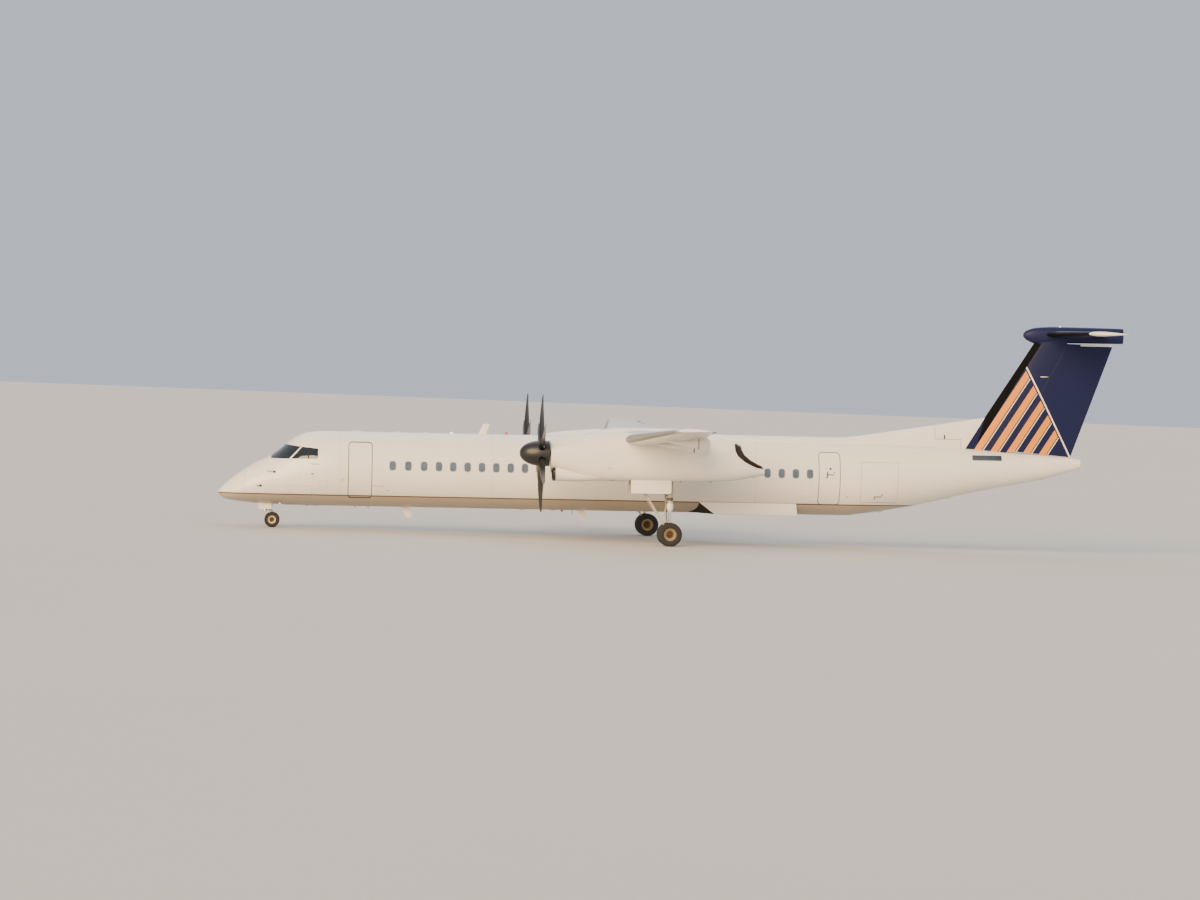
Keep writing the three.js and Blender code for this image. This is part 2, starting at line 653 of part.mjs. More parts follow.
const centreFull = centreWing(0);
const inboardRoom = prismZ(flapOutline(INBOARD_FLAP, GAP), 0, REACH);
const inboardFlap = centreFull.intersect(prismZ(flapOutline(INBOARD_FLAP, 0), 0, REACH));
piece('wing_centre_section', cutAway(centreFull, inboardRoom, mirrored(inboardRoom)), 'white');
pair('inboard_flap', inboardFlap, 'white');

const outerFull = wingLoft(
  [{ ...WING[0], y: WING_BREAK + GAP }, ...WING.slice(1)], { camber: WING_CAMBER, panels: WING_PANELS });
const [aileronIn, aileronOut] = AILERON.map((y) => wingHinge(WING, y, FLAP_CHORD, WING_CAMBER));
const aileron = hingedSurface(outerFull, {
  a: aileronIn.at,
  b: aileronOut.at,
  radiusA: aileronIn.half,
  radiusB: aileronOut.half,
  region: slabAlong(aileronIn.at, aileronOut.at, END_GAP),
  bay: slabAlong(aileronIn.at, aileronOut.at, 0),
  gap: AILERON_GAP,
  pin: PIN,
});
const tracks = TRACK_FAIRINGS.map((y) => trackFairing(y, 0));
const aroundTracks = TRACK_FAIRINGS.map((y) => trackFairing(y, GAP));
const outboardFlap = cutAway(
  outerFull.intersect(prismZ(flapOutline(OUTBOARD_FLAP, 0), 0, REACH)), ...aroundTracks);
const outerWing = cutAway(aileron.rest, prismZ(flapOutline(OUTBOARD_FLAP, GAP), 0, REACH));
pair('outer_wing', joined(outerWing, ...tracks), 'white');
pair('outboard_flap', largestPart(outboardFlap), 'white');
pair('aileron', aileron.leaf, 'white');

const spineRows = SPINE.map((row) => ({ ...row, keel: row.crown - 900, mid: row.crown - 420 }));
const spine = ovalLoft(spineRows, { step: 1700, sides: 20, square: 2.6 });
const spineSection = (from, to) => spine.intersect(box(from, to, -REACH, REACH, 0, REACH));
const rootFairing = cutAway(spineSection(12900, SPINE_JOINT), aroundHull, aroundWing);
const dorsalFin = cutAway(spineSection(SPINE_JOINT + GAP, 28200), aroundHull, aroundWing, finSkin(GAP));
piece('wing_root_fairing', largestPart(rootFairing), 'white');
piece('dorsal_fin', largestPart(dorsalFin), 'white');

// Nacelles

function nacelle() {
  const across = [NACELLE_Y - REACH, NACELLE_Y + REACH];
  const chin = ovalLoft(CHIN, { step: 600, sides: NACELLE_SIDES, square: 2.8, y: NACELLE_Y });
  const throat = ovalLoft(CHIN.map((row) => ({ ...row, x: row.x - 20 })), {
    step: 600, sides: 12, square: 2.8, y: NACELLE_Y, grow: -LIP });
  const duct = throat.intersect(box(11600, 12700, ...across, -REACH, REACH));
  const shaft = rod(
    point(SHAFT.boreFrom, NACELLE_Y, PROP_Z), point(SHAFT.boreTo, NACELLE_Y, PROP_Z),
    circumscribed(SHAFT.radius + GAP, SHAFT.boreSides), undefined, SHAFT.boreSides);
  const bay = box(
    GEAR_BAY.x0, GEAR_BAY.x1, NACELLE_Y - GEAR_BAY.half, NACELLE_Y + GEAR_BAY.half, -REACH, GEAR_BAY.roof);
  const pipeRoom = nacelleSkin(-TAIL_PIPE.inset).intersect(
    box(TAIL_PIPE.x0, FULL_LENGTH, ...across, -REACH, REACH));
  return cutAway(
    joined(nacelleSkin(0), chin, jackPad(NACELLE_PAD, NACELLE_Y)),
    aroundWing, duct, shaft, bay, pipeRoom, behind(NACELLE_END, across));
}

// Everything behind a nacelle's cut-back end, which is a line of [x, z] points seen from the side.
function behind(end, across) {
  const [top, foot] = [end[0], end.at(-1)];
  return prismY(
    [...end, [BEHIND_NACELLE, foot[1]], [BEHIND_NACELLE, ABOVE_NACELLE], [top[0], ABOVE_NACELLE]],
    ...across);
}

const wholeNacelle = largestPart(nacelle());
const nacelleSection = (from, to) => wholeNacelle.intersect(
  box(from + GAP / 2, to - GAP / 2, 0, NACELLE_Y + REACH, -REACH, REACH));

// The exhaust pipe's oval end, which shows past the nacelle's cut-back tail.
function exhaustNozzle() {
  const { x0, x1, inset, wall, proud } = TAIL_PIPE;
  const across = [NACELLE_Y - REACH, NACELLE_Y + REACH];
  const shape = nacelleSkin(-inset - GAP).intersect(box(x0 + GAP, x1, ...across, -REACH, REACH));
  const end = NACELLE_END.map(([x, z]) => [x + proud, z + TAIL_PIPE.raised]);
  const hollow = nacelleSkin(-inset - wall).intersect(box(x0 + wall, FULL_LENGTH, ...across, -REACH, REACH));
  return cutAway(shape, aroundWing, behind(end, across), hollow);
}

pair('nacelle', nacelleSection(0, NACELLE_JOINT), 'white');
pair('nacelle_tail', nacelleSection(NACELLE_JOINT, BEHIND_NACELLE), 'white');
pair('exhaust_nozzle', largestPart(exhaustNozzle()), 'burnt');

// Propellers, each built about its own axis with the blades' plane at x = 0

function bladeSection({ r, chord, thick, pitch, sweep }) {
  const angle = THREE.MathUtils.degToRad(pitch);
  return aerofoil({ chord, thick: thick * 0.99 }, { panels: BLADE_PANELS }).map((p) => {
    const along = p.x - 0.5 * chord;
    const x = along * Math.sin(angle) + p.y * Math.cos(angle) + sweep * 0.4;
    const y = along * Math.cos(angle) - p.y * Math.sin(angle) + sweep;
    return point(x, y, r);
  });
}

function propellerBlades() {
  const blade = loft(BLADE.map(bladeSection));
  const rotated = (solid, turn) => toSolid(toGeometry(solid).rotateX(turn));
  const turnOf = (i) => (i * 2 * Math.PI) / BLADES;
  const blades = Array.from({ length: BLADES }, (_, i) => rotated(blade, turnOf(i)));
  const disc = ({ x0, x1, radius }, sides) => rod(point(x0, 0, 0), point(x1, 0, 0), radius, radius, sides);
  const shaft = disc({ x0: HUB_FLANGE.x1, x1: SHAFT.end, radius: SHAFT.radius }, SHAFT.sides);
  const rim = SPINNER.radius - SPINNER.wall - GAP;
  const flange = turnedX(
    [[0, HUB_FLANGE.x0], [rim, HUB_FLANGE.x0], [rim, HUB_FLANGE.x1], [0, HUB_FLANGE.x1]], SPINNER.sides);
  return joined(disc(HUB, 12), flange, shaft, ...blades);
}

function spinner() {
  const { tip, back, radius, wall } = SPINNER;
  const steps = 4;
  const curve = (size, from) => Array.from({ length: steps + 1 }, (_, i) => {
    const turn = (i / steps) * (Math.PI / 2);
    return [size * Math.sin(turn), from * Math.cos(turn)];
  });
  const outer = [...curve(radius, tip), [radius, back]];
  const inner = [...curve(radius - wall, tip + wall), [radius - wall, back]];
  const shell = turnedX([...outer, ...inner.reverse()], SPINNER.sides);
  const holes = Array.from({ length: BLADES }, (_, i) => {
    const turn = (i * 2 * Math.PI) / BLADES;
    const out = point(0, -Math.sin(turn), Math.cos(turn));
    return rod(out.clone().multiplyScalar(240), out.clone().multiplyScalar(700), BLADE_HOLE, BLADE_HOLE, 8);
  });
  return cutAway(shell, ...holes);
}

[['left', -1], ['right', 1]].forEach(([side, way]) => {
  const place = point(BLADE_PLANE, way * NACELLE_Y, PROP_Z);
  piece(`${side}_propeller_blades`, propellerBlades(), 'black', airframe, place);
  piece(`${side}_spinner`, spinner(), 'black', airframe, place);
});

// Tail

const rudderLow = point(RUDDER_HINGE.low[0], 0, RUDDER_HINGE.low[1]);
const rudderHigh = point(RUDDER_HINGE.high[0], 0, RUDDER_HINGE.high[1]);
const finChordAt = (z) => THREE.MathUtils.mapLinear(z, FIN[0].z, FIN[1].z, FIN[0].chord, FIN[1].chord);
const rudderHalf = (z) => halfThickness(RUDDER_HINGE.share, FIN[0].thick) * finChordAt(z);
const rudder = hingedSurface(finSkin(0), {
  a: rudderLow,
  b: rudderHigh,
  radiusA: rudderHalf(rudderLow.z),
  radiusB: rudderHalf(rudderHigh.z),
  region: prismY(RUDDER_OUTLINE, -REACH, REACH),
  bay: prismY([[27700, 500], [33500, 500], [33500, 5600], [27700, 5600]], -REACH, REACH),
  gap: RUDDER_HINGE.gap,
  pin: RUDDER_PIN,
});
piece('fin', largestPart(cutAway(rudder.rest, aroundHull, bulletSkin(GAP))), 'navy');
piece('rudder', rudder.leaf, 'navy');

const rearFuselage = cutAway(section(CENTRE_END, FULL_LENGTH), aftDoor.room, baggageDoor.room, rudder.hole);
piece('rear_fuselage', rearFuselage, 'white');

const tailplaneFull = tailplaneSkin(0);
const [elevatorIn, elevatorOut] = [ELEVATOR.y0, ELEVATOR.y1].map(
  (y) => wingHinge(TAILPLANE, y, ELEVATOR.share, 0));
const elevator = hingedSurface(tailplaneFull, {
  a: elevatorIn.at,
  b: elevatorOut.at,
  radiusA: elevatorIn.half,
  radiusB: elevatorOut.half,
  region: slabAlong(elevatorIn.at, elevatorOut.at, END_GAP),
  bay: slabAlong(elevatorIn.at, elevatorOut.at, 0),
  gap: ELEVATOR.gap,
  pin: PIN,
});
const rightHalf = elevator.rest.intersect(
  box(0, FULL_LENGTH + REACH, 0, 2 * REACH, TAIL_Z - REACH, TAIL_Z + REACH));
piece('tailplane', rightHalf.add(mirrored(rightHalf)), 'navy');
pair('elevator', elevator.leaf, 'navy');
piece('tail_bullet', cutAway(bulletSkin(0), tailplaneSkin(GAP), rudder.hole), 'navy');

// Main gear: each leg, brace and wheel pair about its own centreline

// Turns a wheel so that one of its flats lies level below the axle.
const flatDown = (sides) => Math.PI / sides + TILT;

function tyre({ radius, inner, half, sides }) {
  const shoulder = half * 0.87;
  const profile = [
    [inner, -half * 0.75], [(inner + radius) / 2, -half], [radius - half * 0.2, -shoulder],
    [radius, -half * 0.58], [radius, half * 0.58], [radius - half * 0.2, shoulder],
    [(inner + radius) / 2, half], [inner, half * 0.75], [inner, -half * 0.75],
  ];
  return turnedY(profile, sides, flatDown(sides));
}

// Two dished rims on one axle, which turns in the leg's eye.
function twinRims({ inner, half, spread, sides }, axle) {
  const rimIn = spread - half * 0.78;
  const rimOut = spread + half * 0.78;
  const rim = (inner - GAP);
  const side = [
    [axle, rimIn], [rim, rimIn], [rim, rimOut], [rim * 0.88, rimOut],
    [rim * 0.5, rimOut - half * 0.5], [rim * 0.4, rimOut + 8], [0, rimOut + 8],
  ];
  const other = side.map(([radius, along]) => [radius, -along]).reverse();
  return turnedY([...other, ...side], sides, flatDown(sides));
}

function eyeBore(axle, half, centre) {
  const radius = circumscribed(axle + GAP, 20);
  return rod(centre.clone().setY(-half - 10), centre.clone().setY(half + 10), radius, radius, 20);
}

function mainLeg(grow) {
  const at = (z) => point(MAIN_X, 0, z);
  const axle = at(MAIN_AXLE_Z);
  const lug = at(BRACE.foot[1] - 40);
  const foot = point(BRACE.foot[0], 0, BRACE.foot[1]);
  foot.addScaledVector(foot.clone().sub(lug).normalize(), grow);
  return joined(
    rod(at(GEAR_BAY.roof - GAP), at(LEG.collarEnd), LEG.barrel + grow, undefined, 14),
    rod(at(LEG.collarTop), at(LEG.collarEnd), LEG.collar + grow, undefined, 14),
    rod(at(LEG.collarEnd + 10), axle, LEG.piston + grow),
    rod(axle.clone().setY(-LEG.eyeHalf), axle.clone().setY(LEG.eyeHalf), LEG.eye + grow, undefined, 14),
    rod(lug, foot, BRACE.lugRadius + grow),
  );
}

function dragBrace() {
  const [top, foot] = [point(BRACE.top[0], 0, BRACE.top[1]), point(BRACE.foot[0], 0, BRACE.foot[1])];
  const bar = rod(top, foot, BRACE.radius);
  return largestPart(cutAway(bar, mainLeg(GAP), box(13000, 17000, -500, 500, GEAR_BAY.roof - GAP, 2000)));
}

const legWithBore = cutAway(mainLeg(0), eyeBore(MAIN_AXLE, LEG.eyeHalf, point(MAIN_X, 0, MAIN_AXLE_Z)));
const bayDoor = (side) => cutAway(
  box(GEAR_DOORS.x0, GEAR_DOORS.x1,
    NACELLE_Y + Math.min(side * GEAR_DOORS.near, side * GEAR_DOORS.far),
    NACELLE_Y + Math.max(side * GEAR_DOORS.near, side * GEAR_DOORS.far), GEAR_DOORS.bottom, 100),
  nacelleSkin(GAP));

[['left', -1], ['right', 1]].forEach(([side, way]) => {
  const beside = point(0, way * NACELLE_Y, 0);
  piece(`${side}_main_gear_leg`, legWithBore, 'gear', airframe, beside);
  piece(`${side}_drag_brace`, dragBrace(), 'gear', airframe, beside);
  const axle = point(MAIN_X, way * NACELLE_Y, MAIN_AXLE_Z);
  piece(`${side}_main_wheel_rims`, twinRims(MAIN_TYRE, MAIN_AXLE), 'rim', airframe, axle);
  [['inner', -way], ['outer', way]].forEach(([place, out]) => {
    const at = axle.clone().setY(axle.y + out * MAIN_TYRE.spread);
    piece(`${side}_${place}_main_tyre`, tyre(MAIN_TYRE), 'rubber', airframe, at);
  });
});
pair('inner_gear_door', bayDoor(-1), 'white');
pair('outer_gear_door', bayDoor(1), 'white');

// Nose gear, in a group turned level so that the steering axis stands upright

const flatRadius = ({ radius, sides }) => radius * Math.cos(Math.PI / sides);
const ground = MAIN_X * Math.sin(TILT) + MAIN_AXLE_Z * Math.cos(TILT) - flatRadius(MAIN_TYRE);
const noseAxleX = STEER_X + TRAIL * Math.cos(TILT);
const noseAxleZ = (ground + flatRadius(NOSE_TYRE) - noseAxleX * Math.sin(TILT)) / Math.cos(TILT);
const noseGear = new THREE.Group();
noseGear.position.set(STEER_X, 0, noseAxleZ + TRAIL * Math.sin(TILT));
noseGear.rotation.y = TILT;
airframe.add(noseGear);

const axleAt = point(TRAIL, 0, 0);
const upright = (z) => point(0, 0, z);
const bayHeight = NOSE_BAY.roof - GAP - noseGear.position.z;
const legTop = (bayHeight - NOSE_LEG.radius * Math.sin(TILT)) / Math.cos(TILT);
const boreRadius = circumscribed(NOSE_LEG.bore + GAP, 20);
const noseLeg = cutAway(
  rod(upright(NOSE_LEG.bottom), upright(legTop), NOSE_LEG.radius, undefined, 20),
  rod(upright(NOSE_LEG.bottom - 50), upright(NOSE_LEG.boreTop + GAP), boreRadius, boreRadius, 20));
const noseFork = joined(
  rod(upright(70), upright(NOSE_LEG.boreTop), NOSE_LEG.bore, undefined, 20),
  box(-48, 110, -55, 55, -20, 130),
  rod(axleAt.clone().setY(-70), axleAt.clone().setY(70), 62, undefined, 20),
  box(-100, -40, -40, 40, 40, 110));
piece('nose_gear_leg', noseLeg, 'gear', noseGear);
piece('nose_fork', cutAway(noseFork, eyeBore(NOSE_AXLE, 70, axleAt)), 'gear', noseGear);

const noseWheels = new THREE.Group();
noseWheels.position.copy(axleAt);
noseWheels.rotation.y = -TILT;
noseGear.add(noseWheels);
piece('nose_wheel_rims', twinRims(NOSE_TYRE, NOSE_AXLE), 'rim', noseWheels);
piece('left_nose_tyre', tyre(NOSE_TYRE), 'rubber', noseWheels, point(0, -NOSE_TYRE.spread, 0));
piece('right_nose_tyre', tyre(NOSE_TYRE), 'rubber', noseWheels, point(0, NOSE_TYRE.spread, 0));
const noseDoor = box(
  NOSE_DOORS.x0, NOSE_DOORS.x1, NOSE_BAY.half - NOSE_DOORS.thick - GAP, NOSE_BAY.half - GAP,
  NOSE_DOORS.bottom, NOSE_DOORS.top);
pair('nose_gear_door', noseDoor, 'white');

// The joints' places, in the airframe's own level frame
airframe.userData.pivots = {
  propeller: [BLADE_PLANE, NACELLE_Y, PROP_Z],
  airstair_door: [AIRSTAIR.x0, doorHingeY, AIRSTAIR.z0],
  rudder: [rudderLow.toArray(), rudderHigh.toArray()],
  elevator: [elevatorIn.at.toArray(), elevatorOut.at.toArray()],
  aileron: [aileronIn.at.toArray(), aileronOut.at.toArray()],
  steering: noseGear.position.toArray(),
  nose_wheels: [noseAxleX, 0, noseAxleZ],
  main_wheels: [MAIN_X, NACELLE_Y, MAIN_AXLE_Z],
};

airframe.rotation.y = -TILT;
airframe.updateMatrixWorld(true);
const extent = new THREE.Box3().setFromObject(airframe, true);
airframe.position.set(-(extent.min.x + extent.max.x) / 2, 0, -extent.min.z);

const airliner = new THREE.Group();
airliner.add(airframe);

export default airliner;
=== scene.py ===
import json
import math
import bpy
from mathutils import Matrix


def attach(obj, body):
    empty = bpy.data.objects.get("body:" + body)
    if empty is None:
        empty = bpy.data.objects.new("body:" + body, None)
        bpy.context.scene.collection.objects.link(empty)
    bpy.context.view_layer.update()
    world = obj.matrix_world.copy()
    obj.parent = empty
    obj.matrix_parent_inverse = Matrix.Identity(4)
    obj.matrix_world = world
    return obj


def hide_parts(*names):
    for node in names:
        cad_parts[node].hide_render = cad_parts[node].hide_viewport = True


bl_info = {
    "name": "Twin turboprop airliner",
    "version": (1, 0, 0),
    "blender": (4, 5, 0),
    "location": "3D View > Sidebar > Airliner",
    "description": "Skins, glass, paint and fittings for the packed airliner",
    "category": "Object",
}

import bmesh
import bpy
from bpy.props import FloatProperty, FloatVectorProperty, IntProperty, PointerProperty
from mathutils import Matrix, Vector

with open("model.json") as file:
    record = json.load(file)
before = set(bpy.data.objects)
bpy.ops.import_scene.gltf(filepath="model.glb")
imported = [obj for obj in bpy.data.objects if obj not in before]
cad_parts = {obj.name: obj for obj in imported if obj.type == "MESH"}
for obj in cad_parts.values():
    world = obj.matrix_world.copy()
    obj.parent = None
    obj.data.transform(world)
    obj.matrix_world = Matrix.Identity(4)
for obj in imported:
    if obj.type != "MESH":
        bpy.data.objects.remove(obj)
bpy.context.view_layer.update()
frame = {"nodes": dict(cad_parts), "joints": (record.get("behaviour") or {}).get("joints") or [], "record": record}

# The shapes are worked out level, in metres: x is the station aft of the nose tip, z the height
# above the fuselage axis. LEVEL tips them nose-down onto the tyres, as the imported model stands.
TILT = math.radians(1.0)
SPIN_LEVEL = Vector((11.33, -4.4, 0.78))
JOINT = {joint["name"]: joint for joint in frame["joints"]}
NOSE_DOWN = Matrix.Rotation(-TILT, 4, "Y")
SPIN_AT = Vector(JOINT["left_propeller_spin"]["pos_m"])
LEVEL = Matrix.Translation(SPIN_AT - NOSE_DOWN @ SPIN_LEVEL) @ NOSE_DOWN
MIRROR = Matrix.Scale(-1.0, 4, (0, 1, 0))


def table(columns, rows):
    """Rows of millimetres as dictionaries of metres. A thickness is a share and stays one."""
    return [{name: value if name == "thick" else value * 0.001
             for name, value in zip(columns.split(), row)} for row in rows]


FUSELAGE = table("x crown keel half mid", [
    (15, -860, -1000, 70, -930), (60, -790, -1046, 160, -920), (250, -610, -1160, 370, -900),
    (600, -310, -1225, 620, -820), (1000, -35, -1268, 800, -700), (1450, 235, -1305, 940, -560),
    (1900, 445, -1330, 1050, -420), (2390, 851, -1342, 1150, -300),
    (2730, 1105, -1345, 1210, -200), (3150, 1283, -1345, 1270, -110),
    (3650, 1340, -1345, 1325, -30), (4200, 1345, -1345, 1345, 0), (22700, 1345, -1345, 1345, 0),
    (23300, 1335, -1270, 1330, 15), (23850, 1325, -1190, 1300, 50),
    (24700, 1300, -1040, 1220, 120), (25400, 1275, -905, 1130, 180),
    (26100, 1250, -730, 1030, 240), (27500, 1175, -400, 800, 380), (29100, 1060, -75, 540, 500),
    (30100, 990, 150, 370, 580), (31000, 900, 420, 190, 660), (31350, 850, 530, 130, 690)])
CABIN_RADIUS = 1.345
SPINE = table("x crown half keel mid", [
    (13000, 1350, 300, 450, 930), (13300, 1455, 620, 555, 1035), (13800, 1610, 860, 710, 1190),
    (14500, 1690, 950, 790, 1270), (16300, 1690, 950, 790, 1270), (17100, 1600, 800, 700, 1180),
    (17600, 1500, 520, 600, 1080), (22400, 1490, 500, 590, 1070), (22900, 1530, 460, 630, 1110),
    (23900, 1680, 400, 780, 1260), (27200, 2215, 220, 900, 1135), (27790, 2312, 120, 900, 1110),
    (27950, 2330, 60, 900, 1105)])
NACELLE = table("x crown keel half mid", [
    (11650, 1240, 300, 470, 770), (12300, 1400, 60, 560, 700), (13200, 1500, -150, 600, 640),
    (14200, 1560, -150, 610, 600), (16000, 1500, -150, 600, 560), (17100, 1485, -115, 565, 540),
    (18200, 1270, -40, 520, 500), (18700, 950, 60, 420, 450), (19170, 440, 150, 260, 295)])
CHIN = table("x crown keel half mid", [
    (11730, 290, -165, 330, 60), (11950, 380, -185, 365, 60), (12500, 480, -185, 400, 90),
    (13300, 560, -140, 440, 160)])
BULLET = table("x crown keel half mid", [
    (29150, 5430, 5300, 55, 5370), (29260, 5530, 5190, 120, 5370),
    (29600, 5640, 5060, 190, 5380), (30000, 5675, 5045, 218, 5390),
    (30200, 5685, 5095, 225, 5400),
    (31200, 5685, 5100, 230, 5400), (32000, 5680, 5105, 210, 5400),
    (32600, 5672, 5110, 165, 5400), (32830, 5665, 5115, 140, 5400)])
# The inner flap track fairing, measured from the wing's trailing edge
TRACK = table("x crown keel half mid", [
    (-1730, -150, -200, 25, -175), (-1300, -140, -300, 68, -220), (-700, -110, -390, 85, -250),
    (-380, -60, -445, 82, -250), (-340, -60, -450, 82, -250), (-150, -30, -478, 78, -255),
    (40, -30, -478, 68, -255), (130, -110, -400, 40, -255)])
WING = table("y x chord z thick", [
    (5050, 14200, 2750, 1330, 0.17), (14000, 15128, 1187, 1770, 0.13),
    (14150, 15160, 1140, 1778, 0.12), (14210, 15230, 1000, 1781, 0.07)])
FIN = table("z x chord thick", [(850, 26854, 4101.6, 0.12), (5400, 29762, 2836.6, 0.12)])
TAILPLANE_HEIGHT = 5.4
TAILPLANE = [{**row, "z": TAILPLANE_HEIGHT} for row in table("y x chord thick", [
    (0, 29920, 2170, 0.12), (4540, 30640, 1450, 0.11), (4635, 30740, 1330, 0.05)])]
WING_CAMBER = 0.02
FLAP_SHARE = 0.72
ELEVATOR_SHARE = 0.62
HINGE_GAP = 0.006
END_GAP = 0.008
DORSAL_START = 17.6
NACELLE_Y = 4.4
NACELLE_END = [(18.18, 1.27), (18.19, 1.04), (18.29, 0.845), (18.53, 0.655), (18.8, 0.515),
               (19.0, 0.44), (19.17, 0.42)]
AIRSTAIR = (4.66, 5.47, -0.99, 0.96)
AFT_DOOR = (21.57, 22.34, -0.93, 0.95)
BAGGAGE_DOOR = (23.11, 24.47, -0.83, 0.62)
DOOR_GAP = 0.006
AIRSTAIR_HINGE_DEPTH = 0.018
WINDOW_STATIONS = [6.22, 6.775, 7.34, 7.87] + [8.38 + 0.5144 * n for n in range(26)]


# Curves and rings of points

def section_at(rows, x):
    """The row at station x, on smooth curves that never pass beyond the table's rows."""
    k = max(0, min(len(rows) - 2, sum(row["x"] <= x for row in rows) - 1))
    span = rows[k + 1]["x"] - rows[k]["x"]
    t = (x - rows[k]["x"]) / span

    def column(name):
        def rise(i):
            return (rows[i + 1][name] - rows[i][name]) / (rows[i + 1]["x"] - rows[i]["x"])

        def slope(i):
            if i == 0 or i == len(rows) - 1:
                return rise(min(i, len(rows) - 2))
            before, after = rise(i - 1), rise(i)
            return 0.0 if before * after <= 0 else 2 * before * after / (before + after)
        start = rows[k][name] * (1 + 2 * t) + slope(k) * span * t
        end = rows[k + 1][name] * (3 - 2 * t) - slope(k + 1) * span * (1 - t)
        return start * (1 - t) ** 2 + end * t ** 2
    return {"x": x, **{name: column(name) for name in rows[0] if name != "x"}}


def bulge(value, square):
    """A cosine or sine, pushed out towards a square's corners."""
    return math.copysign(abs(value) ** (2 / square), value)


def oval(row, sides, square=2.0, y=0.0, grow=0.0):
    """A ring across the aircraft: an upper and a lower half about the widest height."""
    ring = []
    for i in range(sides):
        turn = 2 * math.pi * i / sides
        reach = row["crown"] - row["mid"] if math.sin(turn) >= 0 else row["mid"] - row["keel"]
        ring.append(Vector((row["x"], y + (row["half"] + grow) * bulge(math.cos(turn), square),
                            row["mid"] + (reach + grow) * bulge(math.sin(turn), square))))
    return ring


def stations(rows, step):
    """Stations through a table, no more than `step` apart."""
    found = []
    for here, after in zip(rows, rows[1:]):
        parts = max(1, math.ceil((after["x"] - here["x"]) / step))
        found += [here["x"] + (after["x"] - here["x"]) * n / parts for n in range(parts)]
    return found + [rows[-1]["x"]]


def half_thickness(share, thick):
    """An aerofoil's half thickness at a share of its chord, as a share of the chord."""
    return 5 * thick * (0.2969 * math.sqrt(share) - 0.126 * share - 0.3516 * share ** 2
                        + 0.2843 * share ** 3 - 0.1015 * share ** 4)


def mean_line(share, camber, crest=0.4):
    """The height of the line midway between an aerofoil's faces, as a share of the chord."""
    side = crest if share < crest else 1 - crest
    base = 0 if share < crest else 1 - 2 * crest
    return camber / side ** 2 * (base + 2 * crest * share - share ** 2)


def aerofoil(chord, thick, camber=0.0, panels=28, share_from=0.0, share_to=1.0):
    """[aft, up] points round an aerofoil, over the top to the nose and back underneath."""
    shares = [(1 - math.cos(math.pi * i / panels)) / 2 for i in range(panels + 1)]
    shares = [share_from + (share_to - share_from) * share for share in shares]
    top = [(share * chord, (mean_line(share, camber) + half_thickness(share, thick)) * chord)
           for share in reversed(shares)]
    under = [(share * chord, (mean_line(share, camber) - half_thickness(share, thick)) * chord)
             for share in shares[1:]]
    return top + under


def mixed(rows, key, value):
    """The row at `value` of the column `key`, on straight lines."""
    k = max(0, min(len(rows) - 2, sum(row[key] <= value for row in rows) - 1))
    t = (value - rows[k][key]) / (rows[k + 1][key] - rows[k][key])
    return {name: rows[k][name] + (rows[k + 1][name] - rows[k][name]) * t for name in rows[0]}


def rounded(x0, x1, z0, z1, corner, steps=5, inset=0.0):
    """A rectangle's outline with round corners, as [x, z] points."""
    x0, x1, z0, z1 = x0 + inset, x1 - inset, z0 + inset, z1 - inset
    corner = max(corner - inset, 0.002)
    centres = [(x1 - corner, z1 - corner), (x0 + corner, z1 - corner),
               (x0 + corner, z0 + corner), (x1 - corner, z0 + corner)]
    return [(cx + corner * math.cos(math.pi / 2 * (quarter + n / steps)),
             cz + corner * math.sin(math.pi / 2 * (quarter + n / steps)))
            for quarter, (cx, cz) in enumerate(centres) for n in range(steps + 1)]


def skin_point(x, z, side, grow=0.0):
    """A point on the fuselage skin at a station and height, `grow` outside it."""
    row = section_at(FUSELAGE, x)
    reach = row["crown"] - row["mid"] if z >= row["mid"] else row["mid"] - row["keel"]
    rise = max(-0.999, min(0.999, (z - row["mid"]) / reach))
    out = row["half"] * math.sqrt(1 - rise * rise)
    normal = Vector((0, out / row["half"] ** 2, (z - row["mid"]) / reach ** 2)).normalized()
    point = Vector((x, out, z)) + normal * grow
    return Vector((point.x, side * point.y, point.z))


def inside_cabin(z, depth):
    """How far out the round section reaches at a height, `depth` inside the skin."""
    return math.sqrt((CABIN_RADIUS - depth) ** 2 - z ** 2)


# Mesh work

def around(verts):
    """The vertices of one loop, in order."""
    path, last = [verts[0]], None
    while len(path) < len(verts):
        here = path[-1]
        step = next(edge.other_vert(here) for edge in here.link_edges
                    if edge.other_vert(here) is not last)
        last = here
        path.append(step)
    return path


